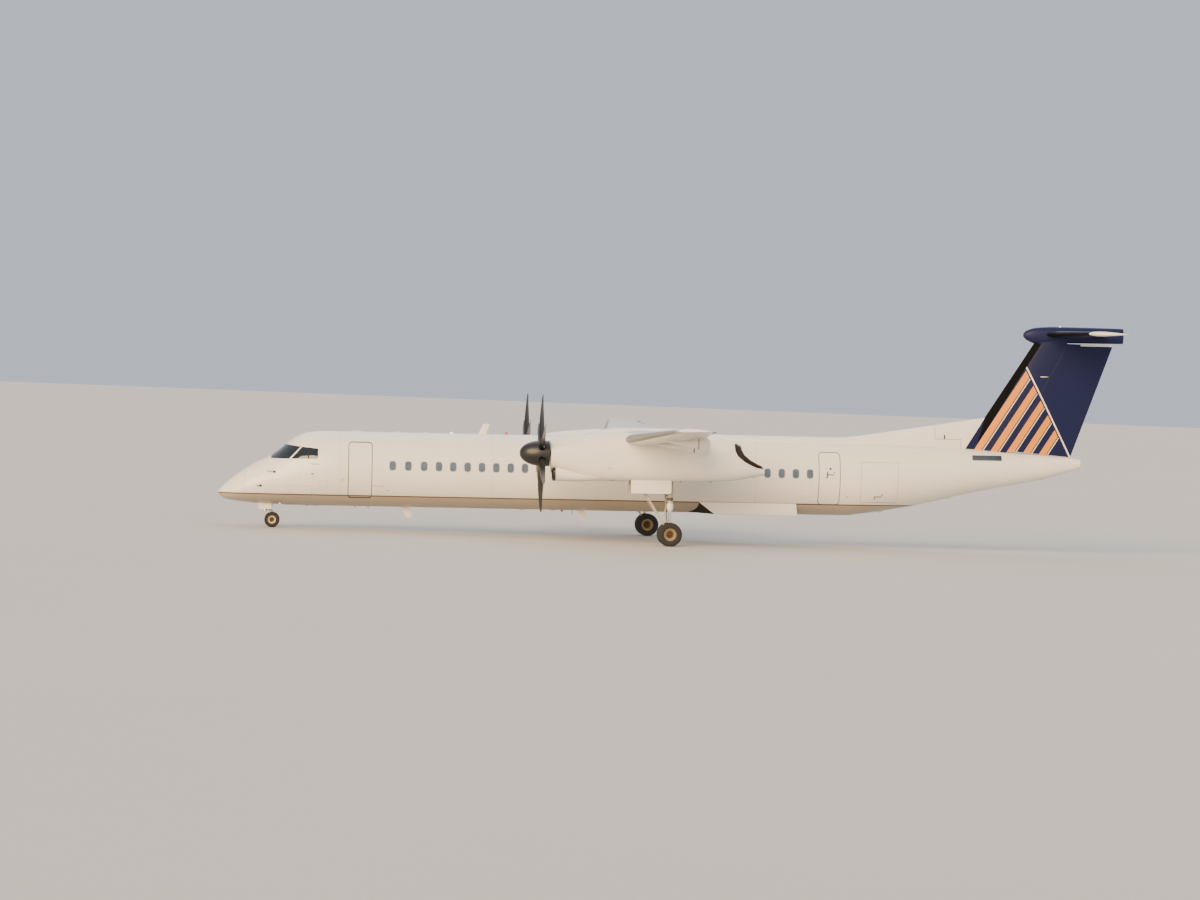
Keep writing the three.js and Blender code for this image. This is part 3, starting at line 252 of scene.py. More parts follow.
def loft(rings, bm=None, ends=True, indexes=()):
    """Skins a solid over rings of points: a circle is extruded from ring to ring. With ends
    False the last ring is bridged back to the first. indexes gives each band's material."""
    bm = bm or bmesh.new()
    row = around(bmesh.ops.create_circle(bm, segments=len(rings[0]), radius=1.0)["verts"])
    for vert, place in zip(row, rings[0]):
        vert.co = place
    first = list({edge for vert in row for edge in vert.link_edges})
    edges, faces = first, []
    for number, ring in enumerate(rings[1:]):
        made = bmesh.ops.extrude_edge_only(bm, edges=edges)["geom"]
        fresh = {item for item in made if isinstance(item, bmesh.types.BMVert)}
        row = [next(edge.other_vert(vert) for edge in vert.link_edges
                    if edge.other_vert(vert) in fresh) for vert in row]
        for vert, place in zip(row, ring):
            vert.co = place
        band = {face for edge in edges for face in edge.link_faces} - set(faces)
        for face in band:
            face.material_index = indexes[number] if number < len(indexes) else 0
        faces += band
        edges = [edge for vert in row for edge in vert.link_edges
                 if edge.verts[0] in fresh and edge.verts[1] in fresh]
        edges = list(dict.fromkeys(edges))
    if ends:
        for loop, index in ((first, 0), (edges, len(rings) - 2)):
            for face in bmesh.ops.holes_fill(bm, edges=loop, sides=0)["faces"]:
                face.material_index = indexes[index] if index < len(indexes) else 0
                faces.append(face)
    else:
        faces += bmesh.ops.bridge_loops(bm, edges=first + edges)["faces"]
    bmesh.ops.recalc_face_normals(bm, faces=faces)
    return bm


def prism(outline, low, high, axis="Y", bm=None):
    """An outline of [x, z] (Y), [x, y] (Z) or [y, z] (X) points, run along an axis."""
    place = {"X": lambda a, b, c: Vector((c, a, b)), "Y": lambda a, b, c: Vector((a, c, b)),
             "Z": lambda a, b, c: Vector((a, b, c))}[axis]
    return loft([[place(a, b, c) for a, b in outline] for c in (low, high)], bm)


def soften(bm, edges, width, segments=2):
    """Rounds edges of a shape."""
    bmesh.ops.bevel(bm, geom=edges, offset=width, offset_type="OFFSET", segments=segments,
                    profile=0.5, affect="EDGES", material=-1, clamp_overlap=True)


def block(x0, x1, y0, y1, z0, z1, bm=None, bevel=0.0):
    """A box between limits, its edges rounded by `bevel`."""
    bm = bm or bmesh.new()
    centre = Vector(((x0 + x1) / 2, (y0 + y1) / 2, (z0 + z1) / 2))
    size = Matrix.Diagonal((abs(x1 - x0), abs(y1 - y0), abs(z1 - z0), 1))
    place = Matrix.Translation(centre) @ size
    verts = bmesh.ops.create_cube(bm, size=1.0, matrix=place)["verts"]
    if bevel:
        soften(bm, list({edge for vert in verts for edge in vert.link_edges}), bevel)
    return bm


def rod(a, b, radius, end_radius=None, sides=24, bm=None, bevel=0.0):
    """A round bar from a to b."""
    bm = bm or bmesh.new()
    a, b = Vector(a), Vector(b)
    turn = Vector((0, 0, 1)).rotation_difference(b - a).to_matrix().to_4x4()
    made = bmesh.ops.create_cone(
        bm, cap_ends=True, cap_tris=False, segments=sides, radius1=radius,
        radius2=radius if end_radius is None else end_radius, depth=(b - a).length,
        matrix=Matrix.Translation((a + b) / 2) @ turn)
    if bevel:
        rims = list({edge for vert in made["verts"] for edge in vert.link_edges
                     if len(edge.link_faces) == 2
                     and max(len(face.verts) for face in edge.link_faces) > 4})
        soften(bm, rims, bevel)
    return bm


def pin(at, half, radius, bm, sides=24, bevel=0.0):
    """A round bar across the aircraft, about a point."""
    across = Vector((0, half, 0))
    return rod(Vector(at) - across, Vector(at) + across, radius, sides=sides, bm=bm, bevel=bevel)


def turned(profile, centre, axis, sides=48, bm=None):
    """A solid of revolution from closed [along, radius] points about an axis through centre."""
    centre = Vector(centre)
    whole = bmesh.new()
    verts = [whole.verts.new((radius, 0, along)) for along, radius in profile]
    pairs = list(zip(verts, verts[1:] + verts[:1]))
    edges = [whole.edges.new(pair) for pair in pairs if not all(v.co.x < 1e-6 for v in pair)]
    bmesh.ops.spin(whole, geom=verts + edges, cent=(0, 0, 0), axis=(0, 0, 1), dvec=(0, 0, 0),
                   angle=2 * math.pi, steps=sides, use_merge=True, use_duplicate=False)
    bmesh.ops.remove_doubles(whole, verts=whole.verts, dist=1e-5)
    bmesh.ops.recalc_face_normals(whole, faces=whole.faces)
    turn = Vector((0, 0, 1)).rotation_difference(Vector(axis)).to_matrix().to_4x4()
    bmesh.ops.transform(whole, matrix=Matrix.Translation(centre) @ turn, verts=whole.verts)
    return whole if bm is None else add_to(bm, whole)


def tube(points, radius, sides=12, bm=None):
    """A bent pipe through points."""
    points = [Vector(point) for point in points]
    rings, side = [], None
    for i, point in enumerate(points):
        along = (points[min(i + 1, len(points) - 1)] - points[max(i - 1, 0)]).normalized()
        side = (side - along * side.dot(along)).normalized() if side else along.orthogonal()
        side.normalize()
        up = along.cross(side)
        rings.append([point + radius * (side * math.cos(2 * math.pi * n / sides)
                                        + up * math.sin(2 * math.pi * n / sides))
                      for n in range(sides)])
    return loft(rings, bm)


def as_mesh(bm):
    """A mesh to hand a shape on with."""
    mesh = bpy.data.meshes.new("working")
    bm.to_mesh(mesh)
    return mesh


def colour_faces(bm, index):
    """Gives every face the same one of its piece's finishes."""
    for face in bm.faces:
        face.material_index = index


def add_to(bm, other, index=None):
    """Puts `other` into bm as it is, and frees it."""
    if index is not None:
        colour_faces(other, index)
    mesh = as_mesh(other)
    other.free()
    bm.from_mesh(mesh)
    bpy.data.meshes.remove(mesh)
    return bm


def combine(bm, other, how="DIFFERENCE", index=None):
    """Cuts `other` out of bm, or joins them, and frees it. index is the material of the cut."""
    if index is not None:
        colour_faces(other, index)
    holders = []
    for shape in (bm, other):
        mesh = as_mesh(shape)
        for _ in range(8):
            mesh.materials.append(None)
        holder = bpy.data.objects.new("working", mesh)
        bpy.context.scene.collection.objects.link(holder)
        holders.append(holder)
    modifier = holders[0].modifiers.new("working", "BOOLEAN")
    modifier.object, modifier.operation, modifier.solver = holders[1], how, "EXACT"
    graph = bpy.context.evaluated_depsgraph_get()
    result = bpy.data.meshes.new_from_object(holders[0].evaluated_get(graph))
    bm.clear()
    bm.from_mesh(result)
    for mesh in (holders[0].data, holders[1].data, result):
        bpy.data.meshes.remove(mesh)
    other.free()
    if not bm.faces:
        raise RuntimeError(f"a {how.lower()} left nothing")
    return bm


def mirror_copy(bm):
    """The same shape on the other side of the aircraft."""
    copy = bm.copy()
    bmesh.ops.transform(copy, matrix=MIRROR, verts=copy.verts)
    bmesh.ops.reverse_faces(copy, faces=copy.faces)
    return copy


# The finishes of each material slot: the first is the one that a bare CAD node gets
SLOTS = {"black_composite": "composite dark boot boot_grey", "navy_paint": "navy fin tail_tips",
         "cockpit_glass": "glass cabin_glass clear_lens red_lens green_lens",
         "bare_metal": "bare chrome", "burnt_steel": "burnt", "gear_paint": "gear",
         "wheel_alloy": "rim cream_rim hub", "tyre_rubber": "rubber hose"}
MATERIALS = {}


def piece(name, bm, finishes, body="airframe", slot=None, replaces=(), smooth=32, place=LEVEL):
    """Makes the finished object, tips it into the row frame and hangs it on its body.
    finishes are names with spaces between, in the order of the faces' indexes."""
    mesh = bpy.data.meshes.new(name)
    bmesh.ops.dissolve_degenerate(bm, dist=1e-6, edges=bm.edges)
    bm.to_mesh(mesh)
    bm.free()
    mesh.transform(place)
    names = finishes.split()
    for material in names:
        mesh.materials.append(MATERIALS[material])
    slot = slot or next((key for key, group in SLOTS.items() if names[0] in group.split()),
                        "white_paint")
    mesh.shade_smooth()
    mesh.set_sharp_from_angle(angle=math.radians(smooth))
    made = bpy.data.objects.new(name, mesh)
    bpy.context.scene.collection.objects.link(made)
    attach(made, body)
    if replaces:
        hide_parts(*replaces)
    return made


def pair(name, bm, finishes, replaces=(), body=None, **options):
    """A right-hand piece and its mirror image. {side} in a body or node is left or right."""
    copy = mirror_copy(bm)
    for side, shape in (("left", copy), ("right", bm)):
        piece(f"{side}_{name}", shape, finishes, (body or "airframe").format(side=side),
              replaces=[node.format(side=side) for node in replaces], **options)


# Materials

def linear(hexa, alpha=1.0):
    """An sRGB hex colour as the linear values that shaders take."""
    values = [int(hexa[i:i + 2], 16) / 255 for i in (0, 2, 4)]
    return tuple(v / 12.92 if v <= 0.04045 else ((v + 0.055) / 1.055) ** 2.4
                 for v in values) + (alpha,)


def add_node(tree, kind, sockets=None, **settings):
    """Adds a node. settings are its own options; sockets sets or links its inputs."""
    node = tree.nodes.new(kind)
    for option, value in settings.items():
        setattr(node, option, value)
    for socket, value in (sockets or {}).items():
        if isinstance(value, bpy.types.NodeSocket):
            tree.links.new(value, node.inputs[socket])
        else:
            node.inputs[socket].default_value = value
    return node


def level_coordinates(tree):
    """Object coordinates, turned back level and measured from the nose tip."""
    where = add_node(tree, "ShaderNodeTexCoord").outputs["Object"]
    return add_node(tree, "ShaderNodeMapping", {
        "Vector": where, "Location": LEVEL.to_translation(), "Rotation": (0, -TILT, 0)},
        vector_type="TEXTURE").outputs[0]


def band(tree, value, low, high, soft=0.002):
    """1 between low and high, 0 outside, with soft edges."""
    rise = add_node(tree, "ShaderNodeMapRange", {
        "Value": value, "From Min": low - soft, "From Max": low + soft})
    fall = add_node(tree, "ShaderNodeMapRange", {
        "Value": value, "From Min": high - soft, "From Max": high + soft,
        "To Min": 1.0, "To Max": 0.0})
    return add_node(tree, "ShaderNodeMath", {0: rise.outputs[0], 1: fall.outputs[0]},
                    operation="MULTIPLY").outputs[0]


def overlay(tree, under, over, mask):
    """Lays a colour over another where the mask is 1."""
    return add_node(tree, "ShaderNodeMix", {"Factor": mask, 6: under, 7: over},
                    data_type="RGBA").outputs[2]


def finish(name, colour, rough, metal=0.0, coat=0.0, mottle=0.06, mottle_mm=900, grain_mm=40,
           grain=0.0, worn=0.04, layers=None, specular=0.5, glow=0.0, coat_rough=0.08):
    """A procedural finish: the colour drifts over mottle_mm, the gloss wears unevenly, the
    surface has a grain of grain_mm, and layers(tree, colour, place) may paint over it."""
    material = bpy.data.materials.new(name)
    material.use_nodes = True
    tree = material.node_tree
    tree.nodes.clear()
    place = level_coordinates(tree)
    cloud = add_node(tree, "ShaderNodeTexNoise", {
        "Vector": place, "Scale": 1000 / mottle_mm, "Detail": 4.0, "Roughness": 0.55})
    darker = tuple(value * (1 - 3 * mottle) for value in colour[:3]) + (1.0,)
    drift = add_node(tree, "ShaderNodeMapRange", {
        "Value": cloud.outputs[0], "From Min": 0.3, "From Max": 0.75})
    base = overlay(tree, darker, colour, drift.outputs[0])
    if layers:
        base = layers(tree, base, place)
    fine = add_node(tree, "ShaderNodeTexNoise", {
        "Vector": place, "Scale": 1000 / grain_mm, "Detail": 3.0, "Roughness": 0.6})
    gloss = add_node(tree, "ShaderNodeMapRange", {
        "Value": fine.outputs[0], "From Min": 0.25, "From Max": 0.75,
        "To Min": max(0.02, rough - worn), "To Max": min(1.0, rough + worn)})
    shader = add_node(tree, "ShaderNodeBsdfPrincipled", {
        "Base Color": base, "Roughness": gloss.outputs[0], "Metallic": metal})
    if coat:
        shader.inputs["Coat Weight"].default_value = coat
        shader.inputs["Coat Roughness"].default_value = coat_rough
    if not metal:
        shader.inputs["Specular IOR Level"].default_value = specular
    if glow:
        shader.inputs["Emission Color"].default_value = colour
        shader.inputs["Emission Strength"].default_value = glow
    if grain:
        bump = add_node(tree, "ShaderNodeBump", {
            "Height": fine.outputs[0], "Strength": min(1.0, grain), "Distance": grain_mm / 4000})
        tree.links.new(bump.outputs[0], shader.inputs["Normal"])
    out = add_node(tree, "ShaderNodeOutputMaterial")
    tree.links.new(shader.outputs[0], out.inputs[0])
    return material


def split(tree, place):
    """The x, y and z of a place."""
    return add_node(tree, "ShaderNodeSeparateXYZ", {0: place}).outputs


def skin_panels(tree, base, place, across=0.97, up=0.62):
    """Faint lap joints of riveted sheet, as a running bond of panels."""
    x, _, z = split(tree, place)
    flat = add_node(tree, "ShaderNodeCombineXYZ", {0: x, 1: z})
    sheets = add_node(tree, "ShaderNodeTexBrick", {
        "Vector": flat.outputs[0], "Color1": (1, 1, 1, 1), "Color2": (0.985, 0.985, 0.985, 1),
        "Mortar": (0.80, 0.79, 0.77, 1), "Scale": 1.0, "Mortar Size": 0.004,
        "Mortar Smooth": 0.4, "Brick Width": across, "Row Height": up})
    return add_node(tree, "ShaderNodeMix", {0: 1.0, 6: base, 7: sheets.outputs[0]},
                    data_type="RGBA", blend_type="MULTIPLY").outputs[2]


def fuselage_livery(tree, base, place):
    """White above a thin bronze cheatline, grey-beige below it, and the sections' joints."""
    paint = bpy.context.scene.airliner.paint
    base = skin_panels(tree, base, place)
    x, _, z = split(tree, place)
    low = paint.cheatline_height - paint.cheatline_width / 2
    high = paint.cheatline_height + paint.cheatline_width / 2
    base = overlay(tree, base, tuple(paint.belly), band(tree, z, -3.0, low, 0.004))
    base = overlay(tree, base, tuple(paint.cheatline), band(tree, z, low, high, 0.003))
    half_joint = 0.006
    for station in (0.95, 4.35, 9.8, 19.3):
        joint = band(tree, x, station - half_joint, station + half_joint, 0.004)
        base = overlay(tree, base, linear("8d8778"), add_node(
            tree, "ShaderNodeMath", {0: joint, 1: 0.5}, operation="MULTIPLY").outputs[0])
    return base


def tail_livery(tree, base, place):
    """Straight amber bars with cream pinstripes, raked like the fin and cut off on a slope."""
    paint = bpy.context.scene.airliner.paint
    x, _, z = split(tree, place)
    foot, rake, spacing = 26.311, 0.6391, 0.62

    def maths(operation, first, second):
        return add_node(tree, "ShaderNodeMath", {0: first, 1: second},
                        operation=operation).outputs[0]
    aft = maths("SUBTRACT", maths("SUBTRACT", x, foot), maths("MULTIPLY", z, rake))
    share = maths("FRACT", maths("DIVIDE", maths("SUBTRACT", aft, 0.09), spacing), 0.0)
    slope = maths("ADD", z, maths("MULTIPLY", aft, 0.86))
    low = band(tree, slope, -1.0, 4.35, 0.004)
    bars = maths("MULTIPLY", band(tree, share, 0.42, 0.86, 0.006), low)
    lines = maths("MULTIPLY", band(tree, share, 0.93, 0.985, 0.006), low)
    edge = maths("MULTIPLY", band(tree, slope, 4.40, 4.45, 0.004),
                 band(tree, aft, 0.25, 4.2, 0.004))
    front = band(tree, aft, 0.3, 3.35, 0.004)
    base = overlay(tree, base, tuple(paint.tail_gold), maths("MULTIPLY", bars, front))
    base = overlay(tree, base, tuple(paint.tail_pinstripe), maths("MULTIPLY", lines, front))
    base = overlay(tree, base, tuple(paint.tail_pinstripe), edge)
    top = maths("MULTIPLY", band(tree, z, 5.0, 5.05, 0.003), band(tree, x, 31.25, 33.0, 0.01))
    return overlay(tree, base, tuple(paint.white), top)


def painted_tip_highlight(tree, base, place):
    """Cream tips on the tailplane: a painted highlight where the tips catch the sun."""
    across = add_node(tree, "ShaderNodeMath", {0: split(tree, place)[1]}, operation="ABSOLUTE")
    tip = band(tree, across.outputs[0], 4.5, 9.0, 0.003)
    return overlay(tree, base, tuple(bpy.context.scene.airliner.paint.tail_pinstripe), tip)


def make_materials(settings):
    """All the finishes, by name. Each comment says what the real one gives the eye."""
    paint = settings.paint
    white, navy = tuple(paint.white), tuple(paint.navy)
    tail = {"rough": 0.55, "coat": 0.05, "coat_rough": 0.2, "specular": 0.2, "mottle": 0.03,
            "mottle_mm": 1800, "grain_mm": 25}
    made = {
        # Two-pack polyurethane gloss over riveted aluminium: warm white, soft reflections
        "skin_paint": finish("fuselage_gloss_paint", white, 0.32, coat=0.2, coat_rough=0.2,
                             mottle=0.02, mottle_mm=2600, grain_mm=25, layers=fuselage_livery),
        "white": finish("white_gloss_paint", white, 0.28, coat=0.35, mottle=0.02,
                        mottle_mm=2200, grain_mm=25, layers=skin_panels),
        "fairing": finish("fairing_gelcoat_paint", white, 0.33, coat=0.2, mottle=0.025,
                          mottle_mm=1500, grain_mm=18),
        "grey": finish("grey_underside_paint", tuple(paint.belly), 0.4, coat=0.15, mottle=0.04,
                       mottle_mm=900, grain_mm=20),
        # The tail's navy, dulled by weather, so that the sun doesn't wash it out
        "navy": finish("navy_gloss_paint", navy, **tail),
        "fin": finish("navy_fin_gloss_paint", navy, layers=tail_livery, **tail),
        # The tailplane's navy, with cream tips as a painted highlight
        "tail_tips": finish("navy_tailplane_gloss_paint", navy, layers=painted_tip_highlight, **tail),
        # De-icing boots and seals: matt neoprene with a fine grain
        "boot": finish("neoprene_deicer_boot", linear("090a0c"), 0.85, mottle=0.08, specular=0.12,
                       mottle_mm=300, grain_mm=12, grain=0.2),
        "boot_grey": finish("weathered_neoprene_boot", linear("8b8882"), 0.5, mottle=0.05,
                            mottle_mm=400, grain_mm=14, grain=0.12),
        "cream_rim": finish("cream_wheel_enamel", linear("c9bc93"), 0.4, mottle=0.05,
                            mottle_mm=90),
        "composite": finish("black_composite", linear("1a1b1d"), 0.42, coat=0.1, mottle=0.06,
                            mottle_mm=300, grain_mm=10, grain=0.12),
        "bronze": finish("bronze_ring", linear("6e5236"), 0.35, metal=0.85, mottle=0.06),
        # Glazing: the dark cockpit shines most, and pale blinds show behind the cabin's panes
        "glass": finish("tinted_stretched_acrylic", linear("151c20"), 0.06, coat=0.6,
                        coat_rough=0.02, mottle=0.1, mottle_mm=500, worn=0.02, specular=0.5),
        "cabin_glass": finish("cabin_acrylic_blind_behind", linear("5d6c7c"), 0.12, coat=0.9,
                              coat_rough=0.04, mottle=0.12, mottle_mm=180, worn=0.03),
        "cabin_frame": finish("window_frame_enamel", linear("cdc8bc"), 0.35, mottle=0.03,
                              mottle_mm=200),
        # Sealant, painted shade in cavities, trim and tread: dull, and rough to the touch
        "seal": finish("brown_door_sealant", linear("4f4136"), 0.7, mottle=0.08, mottle_mm=80,
                       grain_mm=6, grain=0.15),
        # Near black: dark trim, and painted shade in the nose and nacelle bays, the intake duct and the belly
        # fairing's front
        "dark": finish("sooted_cavity_paint", linear("1c1a19"), 0.8, mottle=0.12,
                       mottle_mm=300, grain_mm=20, grain=0.1),
        "lining": finish("cabin_lining_beige", linear("b6aa97"), 0.6, mottle=0.03,
                         mottle_mm=400, grain_mm=4, grain=0.12),
        "tread": finish("black_grit_tread", linear("222222"), 0.85, mottle=0.08, mottle_mm=60,
                        grain_mm=6, grain=0.5),
        # Bare metals: dull, polished, and browned by the exhaust's heat
        "bare": finish("bare_aluminium", linear("a9abad"), 0.34, metal=1.0, mottle=0.05,
                       mottle_mm=250, grain_mm=3, grain=0.05),
        "chrome": finish("hard_chromed_strut", linear("e6e6e4"), 0.08, metal=1.0, mottle=0.02,
                         worn=0.03),
        "burnt": finish("heat_tinted_steel", linear("4c4038"), 0.45, metal=0.9, mottle=0.16,
                        mottle_mm=260, grain_mm=8, grain=0.08, worn=0.1),
        # The landing gear's enamels, castings and rubber
        "gear": finish("gear_leg_enamel", linear("c3b7a0"), 0.4, coat=0.1, mottle=0.08,
                       mottle_mm=260, grain_mm=8),
        # An olive band for the main legs' barrels: painted shade
        "primer": finish("olive_painted_shade_band", linear("4f5242"), 0.5, mottle=0.1, mottle_mm=120,
                         grain_mm=8),
        "rim": finish("cast_magnesium_paint", linear("8f7d5e"), 0.42, mottle=0.06,
                      mottle_mm=120, grain_mm=6),
        "hub": finish("bronze_hub_cap", linear("5a4630"), 0.4, metal=0.7, mottle=0.08,
                      mottle_mm=60),
        "rubber": finish("tyre_rubber", linear("232323"), 0.82, mottle=0.1, mottle_mm=90,
                         grain_mm=5, grain=0.3),
        "hose": finish("hydraulic_hose_rubber", linear("2a2a2c"), 0.6, mottle=0.05,
                       mottle_mm=30),
        # Lamp glass: the red and green lenses glow a little as lamps, and the clear lenses glow brightly as a
        # painted sun glint
        "red_lens": finish("red_lamp_lens", linear("b3181c"), 0.1, coat=1.0, glow=0.5,
                           mottle=0.02),
        "green_lens": finish("green_lamp_lens", linear("157a45"), 0.1, coat=1.0, glow=0.4,
                             mottle=0.02),
        "clear_lens": finish("clear_lamp_glass_painted_glint", linear("f4f2ea"), 0.08, coat=1.0, glow=2.0,
                             mottle=0.02),
    }
    return made


# Settings that a user would change

class PaintSettings(bpy.types.PropertyGroup):
    """Colours and lines of the paint scheme."""
    white: FloatVectorProperty(
        name="Upper paint", description="Gloss white of the fuselage, wing and nacelles",
        subtype="COLOR", size=4, min=0, max=1, default=linear("e9e5da"))
    belly: FloatVectorProperty(
        name="Belly paint", description="Grey-beige below the cheatline",
        subtype="COLOR", size=4, min=0, max=1, default=linear("a79c8a"))
    navy: FloatVectorProperty(
        name="Tail paint", description="Dark blue of the fin, rudder and tailplane",
        subtype="COLOR", size=4, min=0, max=1, default=linear("141a42"))
    cheatline: FloatVectorProperty(
        name="Cheatline", description="Thin bronze line along the hull",
        subtype="COLOR", size=4, min=0, max=1, default=linear("5f3d22"))
    tail_gold: FloatVectorProperty(
        name="Tail bands", description="Amber bands of the fin",
        subtype="COLOR", size=4, min=0, max=1, default=linear("dd8c34"))
    tail_pinstripe: FloatVectorProperty(
        name="Tail pinstripes", description="Cream lines of the fin",
        subtype="COLOR", size=4, min=0, max=1, default=linear("f0e6d2"))
    cheatline_height: FloatProperty(
        name="Cheatline height", description="Height above the fuselage's axis",
        default=-0.94, unit="LENGTH", subtype="DISTANCE")
    cheatline_width: FloatProperty(
        name="Cheatline width", description="Width of the thin line",
        default=0.045, min=0.005, unit="LENGTH", subtype="DISTANCE")


class CabinSettings(bpy.types.PropertyGroup):
    """Sizes of the windows and doors."""
    window_width: FloatProperty(
        name="Window width", description="Width of a cabin window's opening",
        default=0.235, min=0.05, unit="LENGTH", subtype="DISTANCE")
    window_height: FloatProperty(
        name="Window height", description="Height of a cabin window's opening",
        default=0.335, min=0.05, unit="LENGTH", subtype="DISTANCE")
    window_level: FloatProperty(
        name="Window level", description="Height of the windows' middle above the axis",
        default=0.165, unit="LENGTH", subtype="DISTANCE")
    seal_width: FloatProperty(
        name="Seal width", description="Width of the sealant round a door",
        default=0.024, min=0.002, unit="LENGTH", subtype="DISTANCE")


class MeshSettings(bpy.types.PropertyGroup):
    """How fine the skins are."""
    hull_sides: IntProperty(
        name="Hull sides", description="Faces round the fuselage", default=96, min=24)
    foil_panels: IntProperty(
        name="Aerofoil panels", description="Faces along each side of an aerofoil",
        default=28, min=8)
    nacelle_sides: IntProperty(
        name="Nacelle sides", description="Faces round a nacelle", default=60, min=16)


class AirlinerSettings(bpy.types.PropertyGroup):
    """All the airliner's settings."""
    paint: PointerProperty(type=PaintSettings)
    cabin: PointerProperty(type=CabinSettings)
    mesh: PointerProperty(type=MeshSettings)


# Shapes used by several operators

def hull(grow=0.0, start=0.0, end=40.0, step=0.25):
    """The fuselage's skin as a solid, or a length of it."""
    sides = bpy.context.scene.airliner.mesh.hull_sides
    places = [x for x in stations(FUSELAGE, step) if start < x < end]
    if start > FUSELAGE[0]["x"]:
        places = [start] + places
    if end < FUSELAGE[-1]["x"]:
        places = places + [end]
    rings = [oval(section_at(FUSELAGE, x), sides, grow=grow) for x in places]
    return loft(rings)


def oval_loft(rows, step, sides, square=2.0, y=0.0, grow=0.0):
    """A solid through a table of ovals."""
    return loft([oval(section_at(rows, x), sides, square, y, grow)
                 for x in stations(rows, step)])


def foil_ring(row, outline):
    """An aerofoil's points at its row: flat for a wing, upright for a fin, which has no y."""
    if "y" in row:
        return [Vector((row["x"] + a, row["y"], row["z"] + b)) for a, b in outline]
    return [Vector((row["x"] + a, b, row["z"])) for a, b in outline]


def foil_solid(rows, camber=0.0):
    """A wing or fin through its rows."""
    panels = bpy.context.scene.airliner.mesh.foil_panels
    return loft([foil_ring(row, aerofoil(row["chord"], row["thick"], camber, panels))
                 for row in rows])


def hinge_at(rows, y, share, camber=0.0):
    """A hinge's end: the point at a share of the chord, and the half thickness there."""
    row = mixed(rows, "y", y)
    z = row["z"] + mean_line(share, camber) * row["chord"]
    return (Vector((row["x"] + share * row["chord"], y, z)),
            half_thickness(share, row["thick"]) * row["chord"])


def span_turn(a, b):
    """Turns x to run from a to b, and y to look aft and square to that line."""
    run = (b - a).normalized()
    aft = (Vector((1, 0, 0)) - run * run.x).normalized()
    return Matrix((run, aft, run.cross(aft))).transposed().to_4x4()


def slab(hinge, inset, reach=3.0):
    """A slab between a hinge's ends, cut off square to the line that joins them."""
    (a, _), (b, _) = hinge
    length = (b - a).length
    size = Matrix.Diagonal((length - 2 * inset, 2 * reach, reach, 1))
    bm = bmesh.new()
    place = (Matrix.Translation(a) @ span_turn(a, b)
             @ Matrix.Translation((length / 2, 0, 0)) @ size)
    bmesh.ops.create_cube(bm, size=1.0, matrix=place)
    return bm


def behind_hinge(hinge, extra, reach=3.0, spare=0.25):
    """All that lies behind a hinge line, with a round nose about the line."""
    (a, radius_a), (b, radius_b) = hinge
    run, length = (b - a).normalized(), (b - a).length
    bm = bmesh.new()
    size = Matrix.Diagonal((length + reach, reach, reach, 1))
    place = (Matrix.Translation(a) @ span_turn(a, b)
             @ Matrix.Translation((length / 2, reach / 2, 0)) @ size)
    bmesh.ops.create_cube(bm, size=1.0, matrix=place)
    taper = (radius_b - radius_a) * spare / length
    nose = rod(a - run * spare, b + run * spare, radius_a - taper + extra,
               radius_b + taper + extra, sides=32)
    return combine(bm, nose, "UNION")


def hinged(full, hinge, region, bay):
    """Parts a hinged surface from a wing: returns the surface and the rest."""
    leaf = combine(full.copy(), region, "INTERSECT")
    leaf = combine(leaf, behind_hinge(hinge, 0.0), "INTERSECT")
    room = combine(bay, behind_hinge(hinge, HINGE_GAP), "INTERSECT")
    return leaf, combine(full, room, index=1)


def ring_on_skin(outline, side, grow):
    """An outline of [x, z] points, laid on the fuselage skin."""
    return [skin_point(x, z, side, grow) for x, z in outline]


# Operators, one for each piece or group of like pieces

class PieceOperator:
    """What the piece operators share."""
    bl_options = {"REGISTER", "UNDO"}

    def execute(self, context):
        self.make(context.scene.airliner)
        return {"FINISHED"}


class AIRLINER_OT_materials(PieceOperator, bpy.types.Operator):
    """Make the finishes and paint the CAD nodes that stay."""
    bl_idname = "airliner.materials"
    bl_label = "Finishes"

    def make(self, settings):
        MATERIALS.clear()
        MATERIALS.update(make_materials(settings))
        finish_of = {slot: names.split()[0] for slot, names in SLOTS.items()}
        slots = {part["node"]: part["material_slot"] for part in find_parts(frame["record"])}
        for name, node in frame["nodes"].items():
            node.data.materials.clear()
            node.data.materials.append(MATERIALS[finish_of.get(slots.get(name), "fairing")])


def find_parts(record):
    """The record's list of nodes with their material slots."""
    if isinstance(record, dict):
        if "node" in record and "material_slot" in record:
            return [record]
        record = list(record.values())
    if isinstance(record, list):
        return [part for value in record for part in find_parts(value)]
    return []


class AIRLINER_OT_camera(PieceOperator, bpy.types.Operator):
    """Place the camera where the photograph was taken."""
    bl_idname = "airliner.camera"
    bl_label = "Camera"

    PLACE, YAW_PITCH_ROLL = (-13.691, -137.85, 5.611), (4.574, -0.994, 2.245)
    LENS_MM, SENSOR_MM = 114.573, 36.0

    def make(self, settings):
        yaw, pitch, roll = (math.radians(angle) for angle in self.YAW_PITCH_ROLL)
        ahead = Vector((math.sin(yaw) * math.cos(pitch), math.cos(yaw) * math.cos(pitch),
                        math.sin(pitch)))
        right = Vector((math.cos(yaw), -math.sin(yaw), 0))
        up = right.cross(ahead)
        rolled_right = right * math.cos(roll) + up * math.sin(roll)
        rolled_up = up * math.cos(roll) - right * math.sin(roll)
        data = bpy.data.cameras.new("camera")
        data.sensor_width = self.SENSOR_MM
        data.lens = self.LENS_MM
        data.clip_start, data.clip_end = 1.0, 3000.0
        camera = bpy.data.objects.new("camera", data)
        bpy.context.scene.collection.objects.link(camera)
        turn = Matrix((rolled_right, rolled_up, -ahead)).transposed().to_4x4()
        camera.matrix_world = Matrix.Translation(self.PLACE) @ turn
        bpy.context.scene.camera = camera


